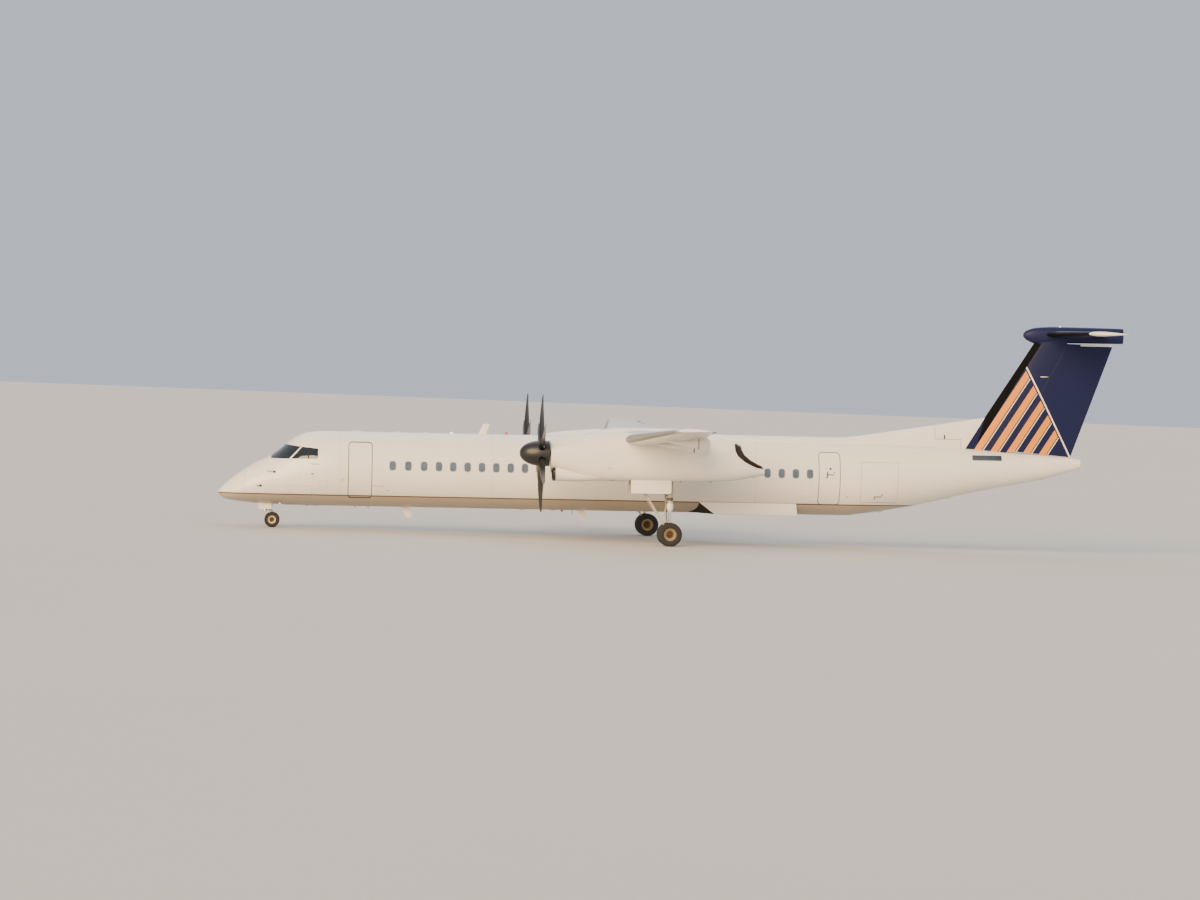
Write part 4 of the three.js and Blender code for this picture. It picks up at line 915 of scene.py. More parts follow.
class AIRLINER_OT_stage(PieceOperator, bpy.types.Operator):
    """Lay the pale floor and hang the studio lights."""
    bl_idname = "airliner.stage"
    bl_label = "Stage and lights"

    # Each sun's name, direction, strength, spread in degrees and colour
    SUNS = (("key_sun", (0.6, 1.0, -0.4), 7.0, 45, "ffd9a6"),
            ("fill_sun", (-0.8, 0.7, -0.9), 0.4, 60, "eef2ff"),
            ("rear_sun", (-0.3, -1.0, -1.1), 1.2, 60, "f6f4ff"))

    def make(self, settings):
        bm = bmesh.new()
        bmesh.ops.create_circle(bm, cap_ends=True, segments=96, radius=900.0)
        mesh = bpy.data.meshes.new("studio_floor")
        bm.to_mesh(mesh)
        bm.free()
        floor = bpy.data.objects.new("studio_floor", mesh)
        bpy.context.scene.collection.objects.link(floor)
        mesh.materials.append(finish("pale_studio_floor", linear("c6c2ba"), 0.75, mottle=0.01,
                                     mottle_mm=20000, grain_mm=600, worn=0.03, specular=0.2))
        world = bpy.context.scene.world or bpy.data.worlds.new("studio")
        bpy.context.scene.world = world
        world.use_nodes = True
        backdrop = world.node_tree.nodes.get("Background") or world.node_tree.nodes.new(
            "ShaderNodeBackground")
        backdrop.inputs["Color"].default_value = linear("d5dde8")
        backdrop.inputs["Strength"].default_value = 0.9
        for name, towards, strength, spread, tint in self.SUNS:
            data = bpy.data.lights.new(name, "SUN")
            data.energy, data.angle = strength, math.radians(spread)
            data.color = linear(tint)[:3]
            light = bpy.data.objects.new(name, data)
            light.rotation_euler = Vector(towards).to_track_quat("-Z", "Y").to_euler()
            bpy.context.scene.collection.objects.link(light)


class AIRLINER_OT_fuselage(PieceOperator, bpy.types.Operator):
    """Skin the fuselage, with its glazing, doorway, vestibule and nose gear bay."""
    bl_idname = "airliner.fuselage"
    bl_label = "Fuselage and cockpit glass"

    # The panes and the dark post in the side window, as seen from the side
    PANES = (
        [(1.88, 0.335), (2.525, 0.34), (2.93, 0.775), (2.39, 0.85), (1.88, 0.85)],
        [(2.60, 0.345), (3.53, 0.356), (3.555, 0.38), (3.555, 0.70), (3.53, 0.722),
         (2.985, 0.772)])
    POST = [(3.19, 0.35), (3.23, 0.35), (3.23, 0.75), (3.19, 0.753)]
    HALF_CENTRE_POST = 0.028
    # Depths under the skin, and the rooms as x, y and z limits
    RECESS, GLASS_FRONT, GLASS_BACK, POST_BACK, LINING = 0.014, 0.004, 0.016, 0.012, 0.125
    VESTIBULE = (4.6, 5.53, -3, 0.75, -0.95, 0.95)
    NOSE_BAY = (1.42, 2.35, -0.24, 0.24, -3, -0.8)

    def glaze(self, skin):
        """Sinks the windows into the skin, and returns it with the panes and the posts."""
        panes, posts = bmesh.new(), bmesh.new()
        for side in (-1, 1):
            for outline in self.PANES:
                hole = prism(outline, side * self.HALF_CENTRE_POST, side * 3.0)
                skin = combine(skin, combine(hole, hull(-self.RECESS, 1.2, 4.3, 0.06)), index=1)
                centre = sum((Vector((x, 0, z)) for x, z in outline), Vector()) / len(outline)
                shrunk = [(x + (centre.x - x) * 0.012, z + (centre.z - z) * 0.012)
                          for x, z in outline]
                glass = combine(
                    prism(shrunk, side * (self.HALF_CENTRE_POST + 0.004), side * 3.0),
                    hull(-self.GLASS_FRONT, 1.2, 4.3, 0.06), "INTERSECT")
                add_to(panes, combine(glass, hull(-self.GLASS_BACK, 1.1, 4.4, 0.06)))
            post = combine(prism(self.POST, side * 0.9, side * 3.0),
                           hull(0.0, 3.0, 3.4, 0.04), "INTERSECT")
            add_to(posts, combine(post, hull(-self.POST_BACK, 2.9, 3.5, 0.04)))
        return skin, panes, posts

    def make(self, settings):
        skin, panes, posts = self.glaze(hull())
        piece("cockpit_posts", posts, "dark")
        room = combine(hull(-self.LINING, 4.3, 6.0), block(*self.VESTIBULE), "INTERSECT")
        x0, x1, z0, z1 = AIRSTAIR
        x0, x1, z1 = x0 - DOOR_GAP, x1 + DOOR_GAP, z1 + 2 * DOOR_GAP
        doorway = prism(rounded(x0, x1, z0, z1, 0.11), -3.0, -0.7)
        groove_y = -inside_cabin(z0, AIRSTAIR_HINGE_DEPTH)
        groove = rod((x0, groove_y, z0), (x1, groove_y, z0), 0.038)
        # The nose gear bay's walls take the near-black finish: painted shade in the recess
        for cutter, index in ((room, 2), (doorway, 1), (groove, 1), (block(*self.NOSE_BAY), 3)):
            skin = combine(skin, cutter, index=index)
        piece("fuselage_skin", skin, "skin_paint seal lining dark",
              replaces=("radome", "nose_section", "forward_fuselage", "centre_fuselage",
                        "rear_fuselage", "aft_passenger_door", "baggage_door"), smooth=28)
        piece("cockpit_glass", panes, "glass",
              replaces=("left_cockpit_glazing", "right_cockpit_glazing"), smooth=28)


class AIRLINER_OT_cabin_windows(PieceOperator, bpy.types.Operator):
    """Set the rounded cabin windows in their frames."""
    bl_idname = "airliner.cabin_windows"
    bl_label = "Cabin windows"

    def make(self, settings):
        cabin = settings.cabin
        half_w, half_h = cabin.window_width / 2, cabin.window_height / 2
        frames, glass = bmesh.new(), bmesh.new()
        for side in (-1, 1):
            for station in WINDOW_STATIONS:
                limits = (station - half_w, station + half_w, cabin.window_level - half_h,
                          cabin.window_level + half_h)

                def ring(inset, grow):
                    return ring_on_skin(rounded(*limits, 0.095, 5, inset), side, grow)
                loft([ring(-0.022, -0.006), ring(-0.020, 0.004), ring(-0.002, 0.006),
                      ring(0.003, 0.002), ring(0.003, -0.006)], frames, ends=False)
                loft([ring(0.004, -0.008), ring(0.004, 0.0022)]
                     + [ring(inset, 0.003) for inset in (0.03, 0.06, 0.085, 0.105)], glass)
        piece("cabin_window_frames", frames, "cabin_frame")
        piece("cabin_window_panes", glass, "cabin_glass")


def hatch_ring(limits, corner, side, inset=0.0, grow=0.0, spacing=0.12):
    """A hatch's outline on the fuselage skin, with points along its straight sides."""
    outline = rounded(*limits, corner, 5, inset)
    plain = rounded(*limits, corner, 5)
    fine = []
    for k, (ax, az) in enumerate(outline):
        bx, bz = outline[(k + 1) % len(outline)]
        (px, pz), (qx, qz) = plain[k], plain[(k + 1) % len(plain)]
        parts = max(1, math.ceil(math.hypot(qx - px, qz - pz) / spacing))
        fine += [(ax + (bx - ax) * n / parts, az + (bz - az) * n / parts) for n in range(parts)]
    return ring_on_skin(fine, side, grow)


def skin_patch(bm, limits, corner, side, proud, spacing=0.12):
    """A thin plate that follows the fuselage skin."""
    x0, x1, z0, z1 = limits
    reach = min(x1 - x0, z1 - z0) / 2
    insets = [reach * share for share in (0, 0.35, 0.7, 0.93)]
    rings = [hatch_ring(limits, corner, side, 0.0, -0.006, spacing)]
    rings += [hatch_ring(limits, corner, side, inset, proud, spacing) for inset in insets]
    return loft(rings, bm)


def skin_frame(bm, limits, corner, side, width, proud=0.002, spacing=0.12):
    """A thin raised line round a hatch."""
    steps = [(-width / 2, -0.006), (-width / 2, proud), (width / 2, proud), (width / 2, -0.006)]
    return loft([hatch_ring(limits, corner, side, inset, grow, spacing)
                 for inset, grow in steps], bm, ends=False)


class AIRLINER_OT_doors(PieceOperator, bpy.types.Operator):
    """Outline the doors and hatches with sealant, and fit their handles and plates."""
    bl_idname = "airliner.doors"
    bl_label = "Doors and hatches"

    # All as x and z limits
    SERVICE_DOOR, RIGHT_HATCH = (4.72, 5.25, -0.55, 0.75), (23.3, 24.2, -0.45, 0.45)
    NOSE_PANEL, GEAR_PANEL = (3.62, 3.9, -0.62, -0.42), (2.55, 3.35, -1.05, -0.62)
    PORTHOLE = (21.945, 22.02, 0.325, 0.4)
    AFT_HANDLES = ((21.83, 22.13, 0.135, 0.165), (21.86, 21.9, 0.03, 0.27),
                   (22.1, 22.16, 0.22, 0.25), (21.8, 21.85, 0.04, 0.07))
    BAGGAGE_HANDLES = ((23.64, 23.9, -0.63, -0.605), (23.62, 23.65, -0.72, -0.6),
                       (23.86, 23.94, -0.56, -0.53))

    def make(self, settings):
        width = settings.cabin.seal_width
        seals, handles, glass = bmesh.new(), bmesh.new(), bmesh.new()
        for side, limits, corner, seal in (
                (-1, AFT_DOOR, 0.13, width), (1, AFT_DOOR, 0.13, width),
                (-1, BAGGAGE_DOOR, 0.05, width / 3), (1, self.SERVICE_DOOR, 0.1, width),
                (1, self.RIGHT_HATCH, 0.08, width / 2), (-1, self.NOSE_PANEL, 0.03, width / 8),
                (-1, self.GEAR_PANEL, 0.03, width / 8), (1, self.GEAR_PANEL, 0.03, width / 8)):
            skin_frame(seals, limits, corner, side, seal)
        x0, x1, z0, z1 = AIRSTAIR
        skin_frame(seals, (x0 - 0.016, x1 + 0.016, z0 - 0.01, z1 + 0.022), 0.12, -1, 0.022)
        for side in (-1, 1):
            skin_patch(glass, self.PORTHOLE, 0.035, side, 0.004, 0.03)
            for limits in self.AFT_HANDLES:
                skin_patch(handles, limits, 0.012, side, 0.006, 0.05)
        for limits in self.BAGGAGE_HANDLES:
            skin_patch(handles, limits, 0.01, -1, 0.006, 0.05)
        piece("door_seals", seals, "seal")
        piece("door_handles", handles, "seal", slot="bare_metal")
        piece("door_portholes", glass, "glass")


class AIRLINER_OT_airstair(PieceOperator, bpy.types.Operator):
    """Make the airstair door with its treads and rails."""
    bl_idname = "airliner.airstair"
    bl_label = "Airstair door"

    # The teeth between the steps, which stand on the leaf's back
    STEPS, FIRST_STEP, RISE = 5, 0.17, 0.3
    TOOTH_FOOT, TOOTH_REACH, TOOTH_TOP = 0.1, 0.133, 0.082

    def back(self, z):
        """The y of the leaf's back at a height."""
        return -inside_cabin(z, self.TOOTH_FOOT)

    def make(self, settings):
        x0, x1, z0, z1 = AIRSTAIR
        leaf = combine(hull(0.0, 4.3, 6.0, 0.1), hull(-0.12, 4.2, 6.1, 0.1))
        leaf = combine(leaf, prism(rounded(x0, x1, z0, z1, 0.105), -3.0, -0.2), "INTERSECT")
        for face in leaf.faces:
            outside = abs(face.calc_center_median().yz.length - CABIN_RADIUS) < 0.01
            face.material_index = 0 if outside else 1
        for n in range(self.STEPS):
            low = z0 + self.FIRST_STEP + self.RISE * n
            high, nose = low + self.RISE, low + 0.07
            foot = Vector((self.back(low), low))
            lip = Vector((self.back(nose) + self.TOOTH_REACH, nose))
            prism([foot, (self.back(high), high),
                   (self.back(high) + self.TOOTH_TOP, high - 0.06), lip],
                  x0 + 0.06, x1 - 0.06, "X", leaf)
            out = Vector((lip.y - foot.y, foot.x - lip.x)).normalized() * 0.006
            near, far = foot.lerp(lip, 0.1), foot.lerp(lip, 0.96)
            strip = [near - out, far - out, far + out, near + out]
            add_to(leaf, prism(strip, x0 + 0.075, x1 - 0.075, "X"), 2)
        for x in (x0 + 0.06, x1 - 0.06):
            path = [(-0.75, 0.06), (-0.68, 0.22), (-0.55, 0.27), (0.3, 0.27), (0.42, 0.2),
                    (0.5, 0.06)]
            rail = [(x, self.back(z) + inward, z) for z, inward in path]
            add_to(leaf, tube(rail, 0.013, 10), 3)
            for z in (-0.2, 0.15):
                y = self.back(z)
                add_to(leaf, rod((x, y - 0.01, z), (x, y + 0.27, z), 0.009, sides=10), 3)
        hinge_y = -inside_cabin(z0, AIRSTAIR_HINGE_DEPTH)
        rod((x0, hinge_y, z0), (x1, hinge_y, z0), 0.0175, bm=leaf)
        piece("airstair_leaf", leaf, "skin_paint lining tread bare", body="airstair",
              replaces=("airstair_door",))


class AIRLINER_OT_wing(PieceOperator, bpy.types.Operator):
    """Skin the wing, flaps, ailerons, track fairings and the root fairing."""
    bl_idname = "airliner.wing"
    bl_label = "Wing, flaps and ailerons"

    INBOARD_FLAP, OUTBOARD_FLAP, AILERON = (1.15, 3.75), (5.11, 9.3), (9.5, 13.95)
    FLAP_GAP = 0.014
    TRACKS_AT = (6.2, 8.9)

    def flap_room(self, span, grow=0.0):
        """The space of a flap over its span, from its leading edge to behind the wing."""
        y0, y1 = span
        rows = [{**WING[0], "y": 0.0}] + WING
        x0, x1 = (hinge_at(rows, y, FLAP_SHARE, WING_CAMBER)[0].x - grow for y in span)
        return prism([(x0, y0 - grow), (x1, y1 + grow), (17.5, y1 + grow), (17.5, y0 - grow)],
                     0.0, 3.0, "Z")

    def tracks(self):
        """The fairings of the flap tracks, which shrink with the wing's chord."""
        bm = bmesh.new()
        full_chord = mixed(WING, "y", self.TRACKS_AT[0])["chord"]
        for y in self.TRACKS_AT:
            row = mixed(WING, "y", y)
            tail, size = row["x"] + row["chord"], row["chord"] / full_chord
            rows = [{key: value * (size if key in ("x", "half") else 0.5 + size / 2)
                     + {"x": tail, "half": 0}.get(key, row["z"])
                     for key, value in here.items()} for here in TRACK]
            rings = [oval(section_at(rows, x), 28, y=y) for x in stations(rows, 0.1)]
            joint = [int(abs((ring[0].x - tail) / size + 0.38) < 0.02) for ring in rings]
            loft(rings, bm, indexes=joint)
        return bm

    def make(self, settings):
        centre = foil_solid([{**WING[0], "y": -5.05}, WING[0]], WING_CAMBER)
        inboard = combine(centre.copy(), self.flap_room(self.INBOARD_FLAP), "INTERSECT")
        room = self.flap_room(self.INBOARD_FLAP, self.FLAP_GAP)
        other_room = mirror_copy(room)
        for cutter in (room, other_room):
            centre = combine(centre, cutter, index=1)
        piece("wing_middle_skin", centre, "white seal", replaces=("wing_centre_section",),
              smooth=25)
        pair("inboard_flap_skin", inboard, "white", replaces=("{side}_inboard_flap",), smooth=25)
        outer = foil_solid([{**WING[0], "y": 5.051}] + WING[1:], WING_CAMBER)
        hinge = [hinge_at(WING, y, FLAP_SHARE, WING_CAMBER) for y in self.AILERON]
        aileron, outer = hinged(outer, hinge, slab(hinge, END_GAP), slab(hinge, 0.0))
        flap = combine(outer.copy(), self.flap_room(self.OUTBOARD_FLAP), "INTERSECT")
        outer = combine(outer, self.flap_room(self.OUTBOARD_FLAP, self.FLAP_GAP), index=1)
        tracks = self.tracks()
        pair("outer_wing_skin", outer, "white seal", replaces=("{side}_outer_wing",), smooth=25)
        pair("outboard_flap_skin", flap, "white", replaces=("{side}_outboard_flap",), smooth=25)
        pair("flap_track_fairings", tracks, "fairing seal")
        pair("aileron_skin", aileron, "white", body="{side}_aileron",
             replaces=("{side}_aileron",), smooth=25)
        root = [row for row in SPINE if row["x"] <= DORSAL_START]
        piece("wing_root_skin", oval_loft(root, 0.12, 64, 2.6), "fairing",
              replaces=("wing_root_fairing",))


class AIRLINER_OT_tail(PieceOperator, bpy.types.Operator):
    """Skin the dorsal fin, fin, rudder, tailplane, elevators and bullet."""
    bl_idname = "airliner.tail"
    bl_label = "Tail"

    # Raised joints on the dorsal fin's flanks, as x and z limits
    PANEL_LINES = ((26.26, 26.31, 1.51, 1.67), (25.93, 25.942, 1.5, 2.3),
                   (25.93, 26.9, 1.5, 1.512), (26.888, 26.9, 1.0, 1.5))
    RUDDER_ENDS, RUDDER_SHARE = ((28.66, 0, 1.0), (30.8, 0, 5.1)), 0.421
    ELEVATOR = (0.3, 4.4)

    def dorsal(self, grow=0.0):
        """The spine's after part, ahead of the fin."""
        rows = [row for row in SPINE if row["x"] >= DORSAL_START]
        return oval_loft(rows, 0.3, 48, 2.6, grow=grow)

    def make_dorsal(self):
        """The dorsal fin, white ahead of the line of the fin's leading edge and navy aft."""
        dorsal = self.dorsal()
        rake = (FIN[1]["x"] - FIN[0]["x"]) / (FIN[1]["z"] - FIN[0]["z"])
        foot, across = Vector((FIN[0]["x"], 0, FIN[0]["z"])), Vector((1, 0, -rake))
        bmesh.ops.bisect_plane(dorsal, geom=[*dorsal.verts, *dorsal.edges, *dorsal.faces],
                               dist=1e-5, plane_co=foot, plane_no=across.normalized())
        for face in dorsal.faces:
            face.material_index = int((face.calc_center_median() - foot).dot(across) > 0)
        piece("dorsal_skin", dorsal, "fairing fin", replaces=("dorsal_fin",))
        lines = bmesh.new()
        for x0, x1, z0, z1 in self.PANEL_LINES:
            for side in (-1, 1):
                line = prism([(x0, z0), (x1, z0), (x1, z1), (x0, z1)], side * 0.12, side * 0.6)
                line = combine(line, self.dorsal(0.003), "INTERSECT")
                add_to(lines, combine(line, self.dorsal(-0.01)))
        piece("dorsal_panel_lines", lines, "dark")

    def make_fin(self):
        """The fin with its rudder."""
        share = half_thickness(self.RUDDER_SHARE, FIN[0]["thick"])
        hinge = [(Vector(end), share * mixed(FIN, "z", end[2])["chord"])
                 for end in self.RUDDER_ENDS]
        region = prism([(27.7, 1.203), (31.6, 0.88), (33.0, 5.032), (30.2, 5.086)], -3, 3)
        bay = prism([(27.7, 0.5), (33.5, 0.5), (33.5, 5.6), (27.7, 5.6)], -3, 3)
        rudder, fin = hinged(foil_solid(FIN), hinge, region, bay)
        (a, _), (b, _) = hinge
        up = (b - a).normalized()
        rod(a - up * 0.06, a + up * 0.1, 0.022, bm=rudder)
        piece("rudder_skin", rudder, "fin", body="rudder", replaces=("rudder",), smooth=25)
        piece("fin_skin", fin, "fin seal", replaces=("fin",), smooth=25)

    def make_tailplane(self):
        """The tailplane with its two elevators."""
        left = [{**row, "y": -row["y"]} for row in reversed(TAILPLANE[1:])]
        hinge = [hinge_at(TAILPLANE, y, ELEVATOR_SHARE) for y in self.ELEVATOR]
        elevator, tailplane = hinged(foil_solid(left + TAILPLANE), hinge, slab(hinge, END_GAP),
                                     slab(hinge, 0.0))
        room = combine(slab(hinge, 0.0), behind_hinge(hinge, HINGE_GAP), "INTERSECT")
        tailplane = combine(tailplane, mirror_copy(room))
        room.free()
        pair("elevator_skin", elevator, "tail_tips", body="{side}_elevator",
             replaces=("{side}_elevator",), smooth=25)
        piece("tailplane_skin", tailplane, "tail_tips seal", replaces=("tailplane",), smooth=25)

    def make(self, settings):
        self.make_dorsal()
        self.make_fin()
        self.make_tailplane()
        piece("bullet_skin", oval_loft(BULLET, 0.08, 48, 2.3), "navy", replaces=("tail_bullet",))


class AIRLINER_OT_nacelles(PieceOperator, bpy.types.Operator):
    """Skin the nacelles with their intakes, gear bays and exhausts."""
    bl_idname = "airliner.nacelles"
    bl_label = "Nacelles and exhausts"

    PIPE_START, INTAKE_DEPTH = 17.7, 12.7
    GEAR_BAY = (14.4, 16.25, NACELLE_Y - 0.26, NACELLE_Y + 0.26, -3, 0.25)

    def make(self, settings):
        sides, y = settings.mesh.nacelle_sides, NACELLE_Y

        def skin(grow=0.0):
            return oval_loft(NACELLE, 0.14, sides, 2.4, y, grow)

        def length(x0, x1):
            return block(x0, x1, y - 3, y + 3, -3, 3)
        chin = oval_loft(CHIN, 0.12, sides, 2.8, y)
        throat_rows = [{**row, "x": row["x"] - 0.02} for row in CHIN]
        throat = oval_loft(throat_rows, 0.2, 40, 2.8, y, -0.038)
        duct = combine(throat, length(11.6, self.INTAKE_DEPTH), "INTERSECT")
        body = combine(skin(), chin, "UNION")
        # The intake duct's and the gear bay's walls take the near-black finish: painted shade in the recesses
        body = combine(body, duct, index=1)
        behind = NACELLE_END + [(20.0, 0.42), (20.0, 2.0), (18.18, 2.0)]
        body = combine(body, prism(behind, y - 3, y + 3), index=2)
        pipe_room = combine(skin(-0.025), length(self.PIPE_START, 21), "INTERSECT")
        body = combine(body, pipe_room, index=2)
        body = combine(body, block(*self.GEAR_BAY), index=1)
        pair("nacelle_skin", body, "fairing dark burnt",
             replaces=("{side}_nacelle", "{side}_nacelle_tail"), smooth=30)
        pipe = combine(skin(-0.0253), length(self.PIPE_START + 0.0003, 19.1), "INTERSECT")
        bore = combine(skin(-0.055), length(self.PIPE_START + 0.03, 21), "INTERSECT")
        pipe = combine(pipe, bore)
        lip = [(x + 0.15, z + 0.02) for x, z in NACELLE_END]
        behind_lip = lip + [(20.0, 0.44), (20.0, 2.0), (18.33, 2.0)]
        pipe = combine(pipe, prism(behind_lip, y - 3, y + 3))
        pair("exhaust_skin", pipe, "burnt", replaces=("{side}_exhaust_nozzle",), smooth=30)


class AIRLINER_OT_propellers(PieceOperator, bpy.types.Operator):
    """Make the six-bladed propellers and their spinners."""
    bl_idname = "airliner.propellers"
    bl_label = "Propellers"

    # A blade from root to tip: radius, chord, thickness share, pitch in degrees, sweep
    BLADE = [(0.15, 0.17, 0.95, 55, 0), (0.4, 0.175, 0.75, 52, 0), (0.7, 0.29, 0.22, 42, -0.005),
             (1.25, 0.34, 0.1, 29, -0.012), (1.75, 0.29, 0.06, 19, 0.008),
             (2.0, 0.2, 0.05, 16, 0.04), (2.055, 0.11, 0.05, 15, 0.062)]
    BLADES = 6
    SPINNER_LENGTH, SPINNER_RADIUS, SPINNER_WALL = 0.77, 0.45, 0.012

    def blade(self):
        """One blade that stands up from the axis."""
        rows = [dict(zip(("x", "chord", "thick", "pitch", "sweep"), row)) for row in self.BLADE]
        rings = []
        for radius in [0.15 + 0.05 * n for n in range(37)] + [1.98, 2.02, 2.04, 2.055]:
            row = section_at(rows, radius)
            angle, sweep = math.radians(row["pitch"]), row["sweep"]
            ring = []
            for along, up in aerofoil(row["chord"], row["thick"], 0.0, 14):
                along -= row["chord"] / 2
                ring.append(Vector((
                    along * math.sin(angle) + up * math.cos(angle) + sweep * 0.4,
                    along * math.cos(angle) - up * math.sin(angle) + sweep, radius)))
            rings.append(ring)
        return loft(rings)

    def spinner(self, centre):
        """A hollow spinner with a hole for each blade, its after rim of another finish."""
        def dome(inset, parts):
            long, radius = self.SPINNER_LENGTH - inset, self.SPINNER_RADIUS - inset
            turns = [math.pi / 2 * n / parts for n in range(parts + 1)]
            return [(-long * math.cos(t), radius * math.sin(t)) for t in turns] + [(0.28, radius)]
        wall = dome(0.0, 24) + dome(self.SPINNER_WALL, 12)[::-1]
        shell = turned(wall, centre, (1, 0, 0), 72)
        for n in range(self.BLADES):
            turn = 2 * math.pi * n / self.BLADES
            out = Vector((0, -math.sin(turn), math.cos(turn)))
            shell = combine(shell, rod(centre + out * 0.24, centre + out * 0.7, 0.125))
        for face in shell.faces:
            face.material_index = int(face.calc_center_median().x > centre.x + 0.24)
        return shell

    def make(self, settings):
        for side, way in (("left", -1), ("right", 1)):
            centre = Vector((SPIN_LEVEL.x, way * NACELLE_Y, SPIN_LEVEL.z))
            blades = bmesh.new()
            for n in range(self.BLADES):
                blade = self.blade()
                turn = Matrix.Rotation(2 * math.pi * n / self.BLADES, 4, "X")
                bmesh.ops.transform(blade, matrix=Matrix.Translation(centre) @ turn,
                                    verts=blade.verts)
                add_to(blades, blade)
            hub, shaft, back = (centre + Vector((x, 0, 0)) for x in (-0.2, 0.25, 0.55))
            rod(hub, shaft, 0.21, bm=blades, bevel=0.02)
            rod(shaft, back, 0.09, bm=blades)
            turned([(0.25, 0.0), (0.25, 0.4377), (0.27, 0.4377), (0.27, 0.0)], centre, (1, 0, 0),
                   bm=blades, sides=64)
            piece(f"{side}_propeller_skin", blades, "composite", body=f"{side}_propeller",
                  replaces=(f"{side}_propeller_blades",), smooth=40)
            piece(f"{side}_spinner_skin", self.spinner(centre), "composite bronze",
                  body=f"{side}_propeller", replaces=(f"{side}_spinner",), smooth=30)


class AIRLINER_OT_belly(PieceOperator, bpy.types.Operator):
    """Skin the belly fairing, with dark wedges at its front as painted shade."""
    bl_idname = "airliner.belly"
    bl_label = "Belly fairing"

    def make(self, settings):
        x0, x1, x2, top, low = 17.27, 17.85, 20.83, -0.93, -1.362
        side = [(x0, top), (x1, low), (x2 + 0.02, low), (x2 - 0.03, top)]
        panel = prism(side, -0.985, 0.985)
        chines = [edge for edge in panel.edges
                  if edge.calc_length() > 2.5 and all(vert.co.z < -1.3 for vert in edge.verts)]
        soften(panel, chines, 0.02, 3)
        piece("belly_skin", panel, "fairing", replaces=("belly_fairing",), smooth=30)
        # Dark wedges on the fairing's front: painted shade where the front turns away from the light
        shade_wedges = bmesh.new()
        for way in (-1, 1):
            corners = [(x0 + 0.01, 0.975, top), (x1, 0.98, low + 0.004), (x1, 0, low + 0.004),
                       (x0 - 0.3, 0.32, -1.318), (x1, 0.6, top), (x0 + 0.2, 0.2, -1.2)]
            shape = bmesh.new()
            for x, y, z in corners:
                shape.verts.new((x, way * y, z))
            bmesh.ops.convex_hull(shape, input=shape.verts)
            bmesh.ops.recalc_face_normals(shape, faces=shape.faces)
            add_to(shade_wedges, shape)
        piece("belly_front_painted_shade", shade_wedges, "dark")


class AIRLINER_OT_deicers(PieceOperator, bpy.types.Operator):
    """Lay the neoprene boots along the leading edges."""
    bl_idname = "airliner.deicers"
    bl_label = "De-icing boots"

    def nose(self, row, share, camber=0.0, proud=0.003):
        """[aft, up] points round an aerofoil's nose, a little outside it."""
        outline = aerofoil(row["chord"], row["thick"], camber, 16, 0.0, share)
        grown = []
        for k, (a, b) in enumerate(outline):
            (pa, pb), (qa, qb) = outline[max(k - 1, 0)], outline[min(k + 1, len(outline) - 1)]
            out = Vector((-(qb - pb), qa - pa)).normalized()
            grown.append((a - out.x * proud, b - out.y * proud))
        return grown

    def make(self, settings):
        for name, rows, key, limits, share, camber, colour, make in (
                ("fin_boot", FIN, "z", (1.1, 5.08), 0.088, 0.0, "boot", piece),
                ("tailplane_boot", TAILPLANE, "y", (0.32, 4.5), 0.07, 0.0, "boot", pair),
                ("wing_boot", WING, "y", (5.2, 13.8), 0.055, WING_CAMBER, "boot_grey", pair)):
            picked = [mixed(rows, key, limit) for limit in limits]
            make(name, loft([foil_ring(row, self.nose(row, share, camber)) for row in picked]),
                 colour)


def teardrop(bm, at, length, half, depth, way=-1, sides=16):
    """A streamlined bump on a flat foot: way is 1 upwards or -1 downwards."""
    shape = [(0.0, 0.25), (0.06, 0.6), (0.2, 0.92), (0.4, 1.0), (0.65, 0.8), (0.88, 0.42),
             (1.0, 0.12)]
    rings = []
    for along, size in shape:
        ring = []
        for n in range(sides):
            turn = 2 * math.pi * n / sides
            drop = math.sin(turn)
            reach = depth if drop > 0 else depth * 0.3
            ring.append(Vector(at) + Vector((along * length, half * size * math.cos(turn),
                                             way * reach * size * drop)))
        rings.append(ring)
    return loft(rings, bm)


def pod(at, steps, half_y, half_z, bm=None, sides=16):
    """A slim shell that runs aft from a point: steps are [along, size] pairs."""
    turns = [2 * math.pi * n / sides for n in range(sides)]
    return loft([[Vector(at) + Vector((along, half_y * size * math.cos(t),
                                       half_z * size * math.sin(t))) for t in turns]
                 for along, size in steps], bm)


